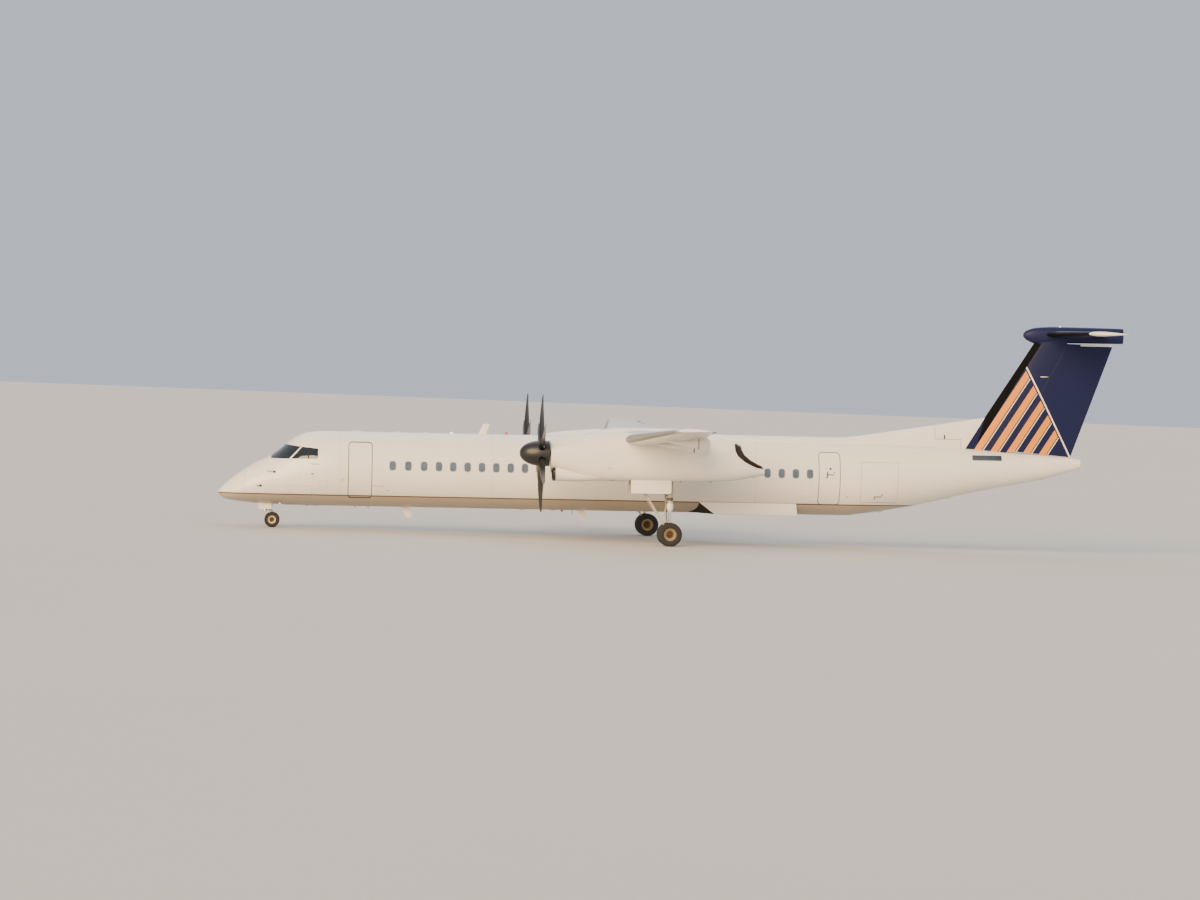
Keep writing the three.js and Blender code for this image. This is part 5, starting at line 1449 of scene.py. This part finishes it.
class AIRLINER_OT_fittings(PieceOperator, bpy.types.Operator):
    """Fit the probes, lamps, aerial housings, vents and plates."""
    bl_idname = "airliner.fittings"
    bl_label = "Probes, lamps and vents"

    # On both flanks: pitot heads [x, z, reach], slots as limits, round ports [x, z, radius]
    PITOTS = ((2.02, -0.139, 0.24), (1.53, -0.641, 0.1))
    VANE = (3.35, -0.18)
    SLOTS = ((3.24, 3.56, 0.192, 0.204), (3.3, 3.6, 0.145, 0.157),
             (5.5, 5.66, -0.575, -0.565), (5.72, 5.78, -0.585, -0.57),
             (5.84, 5.93, -0.59, -0.575))
    PORTS = ((6.07, -0.727, 0.02), (4.438, -0.372, 0.03), (22.62, -0.64, 0.022),
             (4.44, -0.28, 0.015))
    LOUVRE, SLATS, SLAT_PITCH = (27.24, 28.37, 0.745, 0.955), 6, 0.032
    # Housings under the keel and on the roof: [x, length, half width, height]
    KEEL_HOUSINGS = ((3.42, 0.22, 0.09, 0.035), (10.82, 0.26, 0.1, 0.035),
                     (11.95, 0.26, 0.1, 0.035), (23.9, 0.2, 0.05, 0.06),
                     (26.35, 0.26, 0.05, 0.05), (29.85, 0.2, 0.04, 0.04))
    ROOF_HOUSINGS = ((4.75, 0.42, 0.09, 0.035), (6.3, 0.2, 0.05, 0.03), (7.35, 0.14, 0.04, 0.03))
    DRAINS = ((4.9, 0.07), (5.38, 0.085), (12.755, 0.17))
    AERIALS = ((6.595, -1), (9.32, 1), (12.93, -1))
    JACK_PADS = ((3.2, 0, -CABIN_RADIUS), (17.3, NACELLE_Y, -0.115), (17.3, -NACELLE_Y, -0.115))

    def flank(self, side, dark, metal, white):
        """What sits on one side of the fuselage."""
        for x, z, reach in self.PITOTS:
            foot = skin_point(x, z, side, -0.01)
            out = (skin_point(x, z, side, 0.1) - foot).normalized()
            elbow = foot + out * 0.075 + Vector((-0.05, 0, 0))
            skin_patch(metal, (x - 0.035, x + 0.035, z - 0.03, z + 0.03), 0.02, side, 0.003,
                       0.03)
            rod(foot, foot + out * 0.05, 0.045, 0.03, bm=dark)
            tube([foot, foot + out * 0.045, elbow, elbow + Vector((-0.03, 0, 0)),
                  elbow + Vector((-reach, 0, 0))], 0.014, 10, dark)
        foot = skin_point(*self.VANE, side, -0.01)
        out = (skin_point(*self.VANE, side, 0.1) - foot).normalized()
        rod(foot, foot + out * 0.03, 0.022, bm=dark)
        y = foot.y + side * 0.035
        block(3.34, 3.43, y - 0.004, y + 0.004, -0.19, -0.17, dark)
        for limits in self.SLOTS:
            skin_patch(dark, limits, 0.005, side, 0.003, 0.06)
        for x, z, half in self.PORTS:
            skin_patch(metal if x < 5 else dark, (x - half, x + half, z - half, z + half),
                       half, side, 0.003, 0.02)
        skin_frame(white, self.LOUVRE, 0.012, side, 0.02, 0.008, 0.1)
        skin_patch(dark, self.LOUVRE, 0.01, side, 0.002, 0.1)
        for n in range(self.SLATS):
            low = self.LOUVRE[2] + 0.02 + n * self.SLAT_PITCH
            skin_patch(metal, (27.27, 28.34, low, low + 0.011), 0.003, side, 0.011, 0.12)

    def lamps_and_beacons(self, metal, lamps, red):
        """The roof's and the belly's red beacons, and the lamps of the roof and the tail."""
        teardrop(lamps, (8.29, 0, CABIN_RADIUS), 0.12, 0.04, 0.05, 1)
        turned([(0.0, 0.0), (0.0, 0.055), (0.035, 0.058), (0.075, 0.045), (0.098, 0.02),
                (0.104, 0.0)], (10.32, 0, CABIN_RADIUS - 0.01), (0, 0, 1), 24, red)
        turned([(0.0, 0.0), (0.0, 0.08), (0.018, 0.08), (0.022, 0.06), (0.022, 0.0)],
               (10.32, 0, CABIN_RADIUS - 0.012), (0, 0, 1), 24, metal)
        turned([(0.0, 0.0), (0.0, 0.05), (0.03, 0.05), (0.07, 0.035), (0.085, 0.0)],
               (12.4, 0, -CABIN_RADIUS + 0.01), (0, 0, -1), 24, red)
        rod((31.32, 0, 0.69), (31.349, 0, 0.69), 0.1, 0.085, bm=metal)
        turned([(0.0, 0.0), (0.0, 0.055), (0.03, 0.05), (0.045, 0.0)], (31.3, 0, 0.75),
               (1, 0, 0), 24, lamps)
        turned([(0.0, 0.0), (0.0, 0.03), (0.03, 0.024), (0.042, 0.0)], (30.5, 0, 5.68),
               (0, 0, 1), 20, lamps)

    def make(self, settings):
        dark, metal, white, lamps, red, aerials, pads = (bmesh.new() for _ in range(7))
        for side in (-1, 1):
            self.flank(side, dark, metal, white)
        for x, length, half, depth in self.KEEL_HOUSINGS:
            keel = section_at(FUSELAGE, x + length / 2)["keel"]
            teardrop(white, (x, 0, keel), length, half, depth)
        for x, length, half, depth in self.ROOF_HOUSINGS:
            teardrop(white, (x, 0, CABIN_RADIUS), length, half, depth, 1)
        for x, drop in self.DRAINS:
            rod((x, 0, -CABIN_RADIUS + 0.02), (x + 0.03, 0, -CABIN_RADIUS - drop), 0.018,
                0.012, bm=metal)
        self.lamps_and_beacons(metal, lamps, red)
        for side in (-1, 1):
            steps = ((0, 0.3), (0.03, 0.8), (0.09, 1.0), (0.21, 0.7), (0.3, 0.15))
            pod((29.78, side * 0.19, 3.85), steps, side * 0.05, 0.022, white)
        piece("dark_fittings", dark, "composite")
        piece("metal_fittings", metal, "bare")
        piece("white_fittings", white, "fairing")
        # The clear lamps' lenses glow as a painted sun glint
        piece("clear_lamps", lamps, "clear_lens")
        piece("red_beacons", red, "red_lens")
        for x, way in self.AERIALS:
            loft([[Vector((x + along + a, b, way * (CABIN_RADIUS + rise)))
                   for a, b in aerofoil(chord, 0.024 / chord, 0.0, 10)]
                  for along, chord, rise in ((0, 0.275, -0.04), (0, 0.275, 0.0),
                                             (0.17, 0.225, 0.35), (0.195, 0.17, 0.37))], aerials)
        piece("blade_aerials", aerials, "fairing")
        for place in self.JACK_PADS:
            turned([(-0.03, 0.0), (-0.03, 0.06), (0.008, 0.055), (0.022, 0.04), (0.022, 0.0)],
                   place, (0, 0, -1), 28, pads)
        piece("jack_pads", pads, "bare")


class AIRLINER_OT_wing_fittings(PieceOperator, bpy.types.Operator):
    """Fit the wing's lamps, static wicks and access plates."""
    bl_idname = "airliner.wing_fittings"
    bl_label = "Wing fittings"

    LAMP = ((0.02, 0.3), (0.06, 0.75), (0.16, 1.0), (0.28, 0.8), (0.36, 0.2))
    TANK_PLATES_AT, TANK_PLATE_SHARE = (6.9, 7.7, 9.9, 10.8, 11.7, 12.6, 13.3), 0.38

    def wicks(self, name, rows, places, length=0.13, body=None):
        """Static wicks that trail from an edge."""
        bm = bmesh.new()
        for y in places:
            row = mixed(rows, "y", y)
            tail = Vector((row["x"] + row["chord"] - 0.02, y, row["z"]))
            rod(tail, tail + Vector((length, 0, 0)), 0.004, bm=bm, sides=8)
        pair(name, bm, "composite", body=body)

    def make(self, settings):
        for side, way, lens in (("left", -1, "red_lens"), ("right", 1, "green_lens")):
            row = mixed(WING, "y", 14.0)
            lamp = pod((row["x"] - 0.015, way * 14.09, row["z"]), self.LAMP, way * 0.085, 0.05)
            piece(f"{side}_tip_lamp", lamp, lens)
        self.wicks("wing_wicks", WING, (13.99, 14.06, 14.13), 0.14)
        self.wicks("aileron_wicks", WING, (12.4, 12.9, 13.4, 13.85), body="{side}_aileron")
        plates, share = bmesh.new(), self.TANK_PLATE_SHARE
        for y in self.TANK_PLATES_AT:
            row = mixed(WING, "y", y)
            under = row["z"] + (mean_line(share, WING_CAMBER)
                                - half_thickness(share, row["thick"])) * row["chord"]
            turned([(-0.012, 0.0), (-0.012, 0.13), (0.002, 0.125), (0.002, 0.0)],
                   (row["x"] + share * row["chord"], y, under), (0, 0, -1), 28, plates)
        pair("tank_plates", plates, "grey")
        self.wicks("elevator_wicks", TAILPLANE, (2.6, 3.4, 4.2), body="{side}_elevator")


class AIRLINER_OT_nacelle_trim(PieceOperator, bpy.types.Operator):
    """Fit the intake lips, exhaust edges, vents and latches of the nacelles."""
    bl_idname = "airliner.nacelle_trim"
    bl_label = "Nacelle trim"

    # The intake's lip in section: [aft of its front, outside the chin's skin]
    LIP = ((0.0, -0.02), (0.0, 0.0), (0.012, 0.005), (0.1, 0.006), (0.1, -0.004),
           (0.16, -0.03), (0.16, -0.044), (0.0, -0.042))
    # Vents and latches: [x, z, length, height]
    VENTS = ((13.62, 0.33, 0.2, 0.012), (13.66, 0.29, 0.18, 0.012), (13.36, 0.0, 0.035, 0.035),
             (13.78, -0.105, 0.14, 0.018), (13.74, -0.125, 0.05, 0.02))

    def make(self, settings):
        y = NACELLE_Y
        lip = loft([oval(section_at(CHIN, 11.725 + back), 56, 2.8, y, grow)
                    for back, grow in self.LIP], ends=False)
        pair("intake_lip", lip, "composite", smooth=40)
        edge = combine(oval_loft(NACELLE, 0.1, 60, 2.4, y, 0.004),
                       oval_loft(NACELLE, 0.1, 60, 2.4, y, -0.01))
        ahead = [(x - 0.085, z - 0.03) for x, z in NACELLE_END]
        strip = prism(NACELLE_END + list(reversed(ahead)), y - 3, y + 3)
        pair("exhaust_edge", combine(edge, strip, "INTERSECT"), "burnt")
        vents = bmesh.new()
        for side in (-1, 1):
            for x, z, long, tall in self.VENTS:
                row = section_at(NACELLE, x)
                reach = (row["crown"] - row["mid"] if z > row["mid"]
                         else row["mid"] - row["keel"])
                rise = min(1.0, abs(z - row["mid"]) / reach)
                out = row["half"] * (1 - rise ** 2.4) ** (1 / 2.4)
                block(x, x + long, y + side * (out - 0.02), y + side * (out + 0.002),
                      z - tall / 2, z + tall / 2, vents)
        pair("nacelle_vents", vents, "dark")


def wheel_pair(radius, inner, half, spread, centre, bolts):
    """Two tyres and rims about an axle: tyre, rim and hub meshes."""
    tyres, rims, hubs = bmesh.new(), bmesh.new(), bmesh.new()
    tread = half * 0.7
    groove = half * 0.06
    side_wall = [(half * 0.83, radius - half * 0.1), (half * 0.95, radius - half * 0.36),
                 (half, radius - half * 0.75), (half * 0.99, radius - half * 1.05),
                 (half * 0.9, inner + half * 0.3), (half * 0.86, inner + half * 0.12),
                 (half * 0.76, inner)]
    crown = []
    for at in (-0.62, -0.2, 0.2, 0.62):
        middle = at * tread
        crown += [(middle - groove * 1.3, radius), (middle - groove, radius - half * 0.08),
                  (middle + groove, radius - half * 0.08), (middle + groove * 1.3, radius)]
    profile = ([(-a, r) for a, r in reversed(side_wall)] + [(-tread, radius)] + crown
               + [(tread, radius)] + side_wall)
    for way in (-1, 1):
        middle = centre + Vector((0, way * spread, 0))
        turned(profile, middle, (0, 1, 0), 72, tyres)
        turned([(-half * 0.8, inner * 0.6), (-half * 0.84, inner * 1.05),
                (-half * 0.78, inner * 1.07), (-half * 0.7, inner - 0.001),
                (half * 0.7, inner - 0.001), (half * 0.78, inner * 1.07),
                (half * 0.86, inner * 1.05), (half * 0.86, inner * 0.94),
                (half * 0.6, inner * 0.88), (half * 0.3, inner * 0.8),
                (half * 0.22, inner * 0.6)], middle, (0, way, 0), 64, rims)
        turned([(-half * 0.7, 0.0), (-half * 0.7, inner * 0.62), (half * 0.3, inner * 0.62),
                (half * 0.42, inner * 0.5), (half * 0.36, inner * 0.34),
                (half * 0.66, inner * 0.3), (half * 0.8, inner * 0.2),
                (half * 0.84, 0.0)], middle, (0, way, 0), 48, hubs)
        for n in range(bolts):
            turn = 2 * math.pi * n / bolts
            at = middle + Vector((inner * 0.7 * math.cos(turn), way * half * 0.18,
                                  inner * 0.7 * math.sin(turn)))
            rod(at, at + Vector((0, way * half * 0.16, 0)), inner * 0.045, sides=6, bm=hubs)
    pin(centre, spread, inner * 0.215, hubs)
    return tyres, rims, hubs


class AIRLINER_OT_main_gear(PieceOperator, bpy.types.Operator):
    """Build the main gear: legs, braces, doors, wheels and tyres."""
    bl_idname = "airliner.main_gear"
    bl_label = "Main gear"

    # The middle of the axle, and the leg's profile as [height, radius]
    X, Y, Z = 15.89, NACELLE_Y, -1.98
    LEG = [(0.25, 0.0), (0.25, 0.105), (-0.42, 0.105), (-0.46, 0.113), (-0.52, 0.113),
           (-0.56, 0.106), (-0.68, 0.106), (-0.68, 0.11), (-0.8, 0.11), (-0.8, 0.104),
           (-0.89, 0.1), (-0.92, 0.116), (-0.95, 0.12), (-1.05, 0.12), (-1.09, 0.112),
           (-1.16, 0.085), (-1.18, 0.066), (-1.18, 0.0)]
    BRACE_TOP, BRACE_FOOT = (14.511, NACELLE_Y, 0.248), (15.72, NACELLE_Y, -1.69)

    def leg(self):
        """The leg, its chromed strut, its hoses and its torque links."""
        x, y = self.X, self.Y
        leg, chrome, hoses, links = (bmesh.new() for _ in range(4))
        turned(self.LEG, (x, y, 0), (0, 0, 1), 40, leg)
        # The barrel's olive band is painted shade, and the white collar and the foot below it are a painted
        # highlight, on the leg's one enamel
        for face in leg.faces:
            middle = face.calc_center_median().z
            face.material_index = 1 if -0.8 < middle < -0.68 else 2 if middle < -0.89 else 0
        rod((x, y, -1.15), (x, y, -1.86), 0.056, bm=chrome, sides=32)
        turned([(-1.72, 0.0), (-1.72, 0.066), (-1.76, 0.078), (-1.9, 0.082), (-1.9, 0.0)],
               (x, y, 0), (0, 0, 1), 32, leg)
        pin((x, y, self.Z), 0.094, 0.084, leg, 32, 0.01)
        for z, long in ((-0.98, 0.15), (-1.56, 0.11)):
            block(x - long, x - 0.04, y - 0.045, y + 0.045, z - 0.035, z + 0.035, leg, 0.012)
        for z0, x0 in ((-0.99, -0.13), (-1.56, -0.09)):
            for off in (-0.03, 0.03):
                rod((x + x0, y + off, z0), (x - 0.2, y + off * 0.6, -1.3), 0.022, 0.016, 16,
                    links)
        pin((x - 0.2, y, -1.3), 0.05, 0.028, links, 20, 0.004)
        for off in (0.055, -0.055):
            tube([(x - 0.21, y + off, -0.3), (x - 0.17, y + off, -0.7), (x - 0.13, y + off, -1.0),
                  (x - 0.12, y + off, -1.2), (x - 0.1, y + off, -1.5),
                  (x - 0.085, y + off * 1.1, -1.75), (x - 0.07, y + off * 1.1, -1.9)], 0.009, 10,
                 hoses)
        rod((x - 0.21, y, -0.3), (x - 0.115, y, -1.02), 0.042, 0.034, 20, leg)
        for z in (-0.62, -0.86, -1.58):
            block(x - 0.16, x - 0.05, y - 0.075, y + 0.075, z - 0.012, z + 0.012, hoses, 0.003)
        lug = (15.72, y, -1.69)
        pin(lug, 0.06, 0.05, leg, bevel=0.006)
        rod((x - 0.02, y, -1.72), lug, 0.05, 0.045, 20, leg)
        return leg, chrome, hoses, links

    def make(self, settings):
        x, y = self.X, self.Y
        leg, chrome, hoses, links = self.leg()
        pair("main_leg", leg, "gear primer white", replaces=("{side}_main_gear_leg",), smooth=40)
        pair("main_strut", chrome, "chrome")
        pair("main_hoses", hoses, "hose")
        pair("main_torque_links", links, "gear")
        brace = bmesh.new()
        top, foot = Vector(self.BRACE_TOP), Vector(self.BRACE_FOOT)
        middle = top.lerp(foot, 0.52)
        for a, b, radius in ((top, middle, 0.043), (middle, foot, 0.036)):
            rod(a, b, radius, sides=28, bm=brace)
        for at, size in ((top.lerp(foot, 0.03), 0.062), (middle, 0.056), (foot, 0.05)):
            pin(at, 0.05, size, brace, 28, 0.008)
        along = (foot - top).normalized()
        up = along.cross(Vector((0, 1, 0)))
        for share in (0.2, 0.36, 0.66, 0.82):
            at = top.lerp(foot, share)
            rod(at - along * 0.02, at + along * 0.02, 0.052, sides=28, bm=brace)
        tube([top.lerp(foot, 0.1) - up * 0.055, top.lerp(foot, 0.5) - up * 0.07,
              top.lerp(foot, 0.9) - up * 0.055], 0.009, 8, brace)
        pair("drag_strut", brace, "gear", replaces=("{side}_drag_brace",), smooth=40)
        for name, side in (("inner", -1), ("outer", 1)):
            door = bmesh.new()
            y0, y1 = sorted((y + side * 0.276, y + side * 0.3))
            loft([[Vector((a, at, b)) for a, b in rounded(14.47, 15.9, -0.55, 0.06, 0.07)]
                  for at in (y0, y1)], door)
            for a in (14.62, 15.1, 15.58):
                block(a, a + 0.04, y + side * 0.235, y + side * 0.28, -0.5, -0.02, door, 0.006)
            block(14.5, 15.86, y + side * 0.24, y + side * 0.28, -0.42, -0.385, door, 0.006)
            pair(f"{name}_bay_door", door, "fairing", replaces=(f"{{side}}_{name}_gear_door",))
        # A dark strip at the bay doors' front edges: painted shade
        seal = bmesh.new()
        for side in (-1, 1):
            block(14.452, 14.474, y + side * 0.27, y + side * 0.306, -0.53, -0.06, seal, 0.003)
        pair("bay_door_edge_painted_shade", seal, "seal", slot="tyre_rubber")
        tyres, rims, hubs = wheel_pair(radius=0.4185, inner=0.205, half=0.127, spread=0.25,
                                       centre=Vector((x, y, self.Z)), bolts=10)
        pair("main_tyres", tyres, "rubber", body="{side}_main_wheels", smooth=30,
             replaces=("{side}_inner_main_tyre", "{side}_outer_main_tyre"))
        pair("main_rims", rims, "rim", body="{side}_main_wheels",
             replaces=("{side}_main_wheel_rims",), smooth=30)
        pair("main_hubs", hubs, "hub", body="{side}_main_wheels", smooth=30)


class AIRLINER_OT_nose_gear(PieceOperator, bpy.types.Operator):
    """Build the nose gear upright: leg, fork, lamp, doors, wheels and tyres."""
    bl_idname = "airliner.nose_gear"
    bl_label = "Nose gear"

    def make(self, settings):
        axle = Vector(JOINT["nose_wheel_spin"]["pos_m"])
        pivot = Vector(JOINT["nose_steering_pivot"]["pos_m"])
        upright = Matrix.Identity(4)
        x, floor = pivot.x, axle.z

        def at(dx, dy, dz):
            """A place measured from the steering axis at the height of the axle."""
            return Vector((x + dx, dy, floor + dz))
        leg, fork, chrome = bmesh.new(), bmesh.new(), bmesh.new()
        turned([(0.455, 0.047), (0.455, 0.066), (0.5, 0.07), (0.54, 0.07), (0.56, 0.062),
                (0.86, 0.062), (0.88, 0.072), (0.93, 0.072), (0.95, 0.064), (1.07, 0.064),
                (1.07, 0.0), (0.81, 0.0), (0.81, 0.047)], at(0, 0, 0), (0, 0, 1), 36, leg)
        for side in (-1, 1):
            rod(at(-0.02, side * 0.06, 0.84), at(-0.2, side * 0.17, 1.03), 0.022, sides=16,
                bm=leg)
        block(x - 0.13, x - 0.05, -0.15, 0.15, floor + 0.465, floor + 0.49, leg, 0.006)
        rod(at(0, 0, 0.12), at(0, 0, 0.8), 0.044, sides=32, bm=chrome)
        turned([(0.07, 0.0), (0.07, 0.05), (0.13, 0.058), (0.22, 0.056), (0.25, 0.048),
                (0.25, 0.0)], at(0, 0, 0), (0, 0, 1), 32, fork)
        block(x - 0.048, x + 0.11, -0.055, 0.055, floor - 0.02, floor + 0.13, fork, 0.02)
        pin(at(axle.x - x, 0, 0), 0.07, 0.06, fork, 32, 0.008)
        block(x - 0.1, x - 0.04, -0.04, 0.04, floor + 0.04, floor + 0.11, fork, 0.012)
        turned([(0.3, 0.046), (0.3, 0.07), (0.37, 0.07), (0.37, 0.046)], at(0, 0, 0),
               (0, 0, 1), 32, fork)
        for z0, z1 in ((0.34, 0.24), (0.15, 0.24)):
            for off in (-0.025, 0.025):
                rod(at(0.05, off, z0), at(0.15, off * 0.6, z1), 0.012, sides=12, bm=fork)
        pin(at(0.15, 0, 0.24), 0.035, 0.016, fork, 16)
        piece("nose_leg", leg, "gear", place=upright, replaces=("nose_gear_leg",), smooth=40)
        piece("nose_fork_casting", fork, "gear", body="nose_steering", place=upright,
              replaces=("nose_fork",), smooth=40)
        piece("nose_strut", chrome, "chrome", body="nose_steering", place=upright)
        lamp, lens = bmesh.new(), bmesh.new()
        for off in (-0.1, 0.1):
            turned([(0.0, 0.0), (0.0, 0.03), (0.02, 0.045), (0.06, 0.055), (0.07, 0.055),
                    (0.07, 0.047), (0.055, 0.045), (0.055, 0.0)], at(-0.11, off, 0.36),
                   (-1, 0, 0), 28, lamp)
            turned([(0.05, 0.0), (0.05, 0.045), (0.072, 0.052), (0.09, 0.042), (0.104, 0.024),
                    (0.108, 0.0)], at(-0.11, off, 0.36), (-1, 0, 0), 28, lens)
            rod(at(-0.13, off, 0.39), at(-0.1, off, 0.48), 0.012, bm=lamp)
        piece("nose_lamp_bowl", lamp, "bare", place=upright)
        # The lamp's lens glows as a painted sun glint
        piece("nose_lamp_lens", lens, "clear_lens", place=upright)
        tyres, rims, hubs = wheel_pair(radius=0.2735, inner=0.135, half=0.082, spread=0.18,
                                       centre=axle, bolts=8)
        piece("nose_tyres", tyres, "rubber", body="nose_wheels",
              replaces=("left_nose_tyre", "right_nose_tyre"), place=upright, smooth=30)
        piece("nose_rims", rims, "cream_rim", body="nose_wheels", replaces=("nose_wheel_rims",),
              place=upright, smooth=30)
        piece("nose_hubs", hubs, "hub", body="nose_wheels", place=upright, smooth=30)
        door = loft([[Vector((a, y, b)) for a, b in rounded(1.46, 1.93, -1.5, -1.14, 0.05)]
                     for y in (0.2217, 0.2397)])
        for a in (1.52, 1.69, 1.86):
            block(a, a + 0.02, 0.2, 0.225, -1.46, -1.2, door, 0.004)
        pair("nose_door", door, "fairing", replaces=("{side}_nose_gear_door",))
        stay = bmesh.new()
        for a in (1.55, 1.84):
            rod((a, 0.215, -1.36), (a, 0.15, -1.1), 0.01, sides=12, bm=stay)
        pair("nose_door_stays", stay, "gear")
        tail = bmesh.new()
        turned([(0.0, 0.0), (0.0, 0.045), (0.04, 0.045), (0.07, 0.03), (0.075, 0.0)],
               (2.22, -0.36, -1.225), (0, -0.3, -1), 24, tail)
        # The bay lamp's lens glows as a painted sun glint
        piece("nose_bay_lamp", tail, "clear_lens")


class AIRLINER_PT_panel(bpy.types.Panel):
    """The airliner's operators."""
    bl_label = "Airliner"
    bl_idname = "AIRLINER_PT_panel"
    bl_space_type = "VIEW_3D"
    bl_region_type = "UI"
    bl_category = "Airliner"

    def draw(self, context):
        for operator in OPERATORS:
            self.layout.operator(operator.bl_idname)
        for group in ("paint", "cabin", "mesh"):
            settings = getattr(context.scene.airliner, group)
            box = self.layout.box()
            for name in settings.__annotations__:
                box.prop(settings, name)


OPERATORS = (AIRLINER_OT_camera, AIRLINER_OT_materials, AIRLINER_OT_fuselage,
             AIRLINER_OT_cabin_windows, AIRLINER_OT_doors, AIRLINER_OT_airstair,
             AIRLINER_OT_wing, AIRLINER_OT_tail, AIRLINER_OT_nacelles,
             AIRLINER_OT_propellers, AIRLINER_OT_belly, AIRLINER_OT_deicers,
             AIRLINER_OT_fittings, AIRLINER_OT_wing_fittings, AIRLINER_OT_nacelle_trim,
             AIRLINER_OT_main_gear, AIRLINER_OT_nose_gear, AIRLINER_OT_stage)
CLASSES = (PaintSettings, CabinSettings, MeshSettings, AirlinerSettings, *OPERATORS,
           AIRLINER_PT_panel)


def register():
    for cls in CLASSES:
        bpy.utils.register_class(cls)
    bpy.types.Scene.airliner = PointerProperty(type=AirlinerSettings)


def unregister():
    del bpy.types.Scene.airliner
    for cls in reversed(CLASSES):
        bpy.utils.unregister_class(cls)


def main():
    """Registers the add-on and makes every piece."""
    register()
    for operator in OPERATORS:
        group, name = operator.bl_idname.split(".")
        getattr(getattr(bpy.ops, group), name)()


if __name__ == "__main__":
    main()
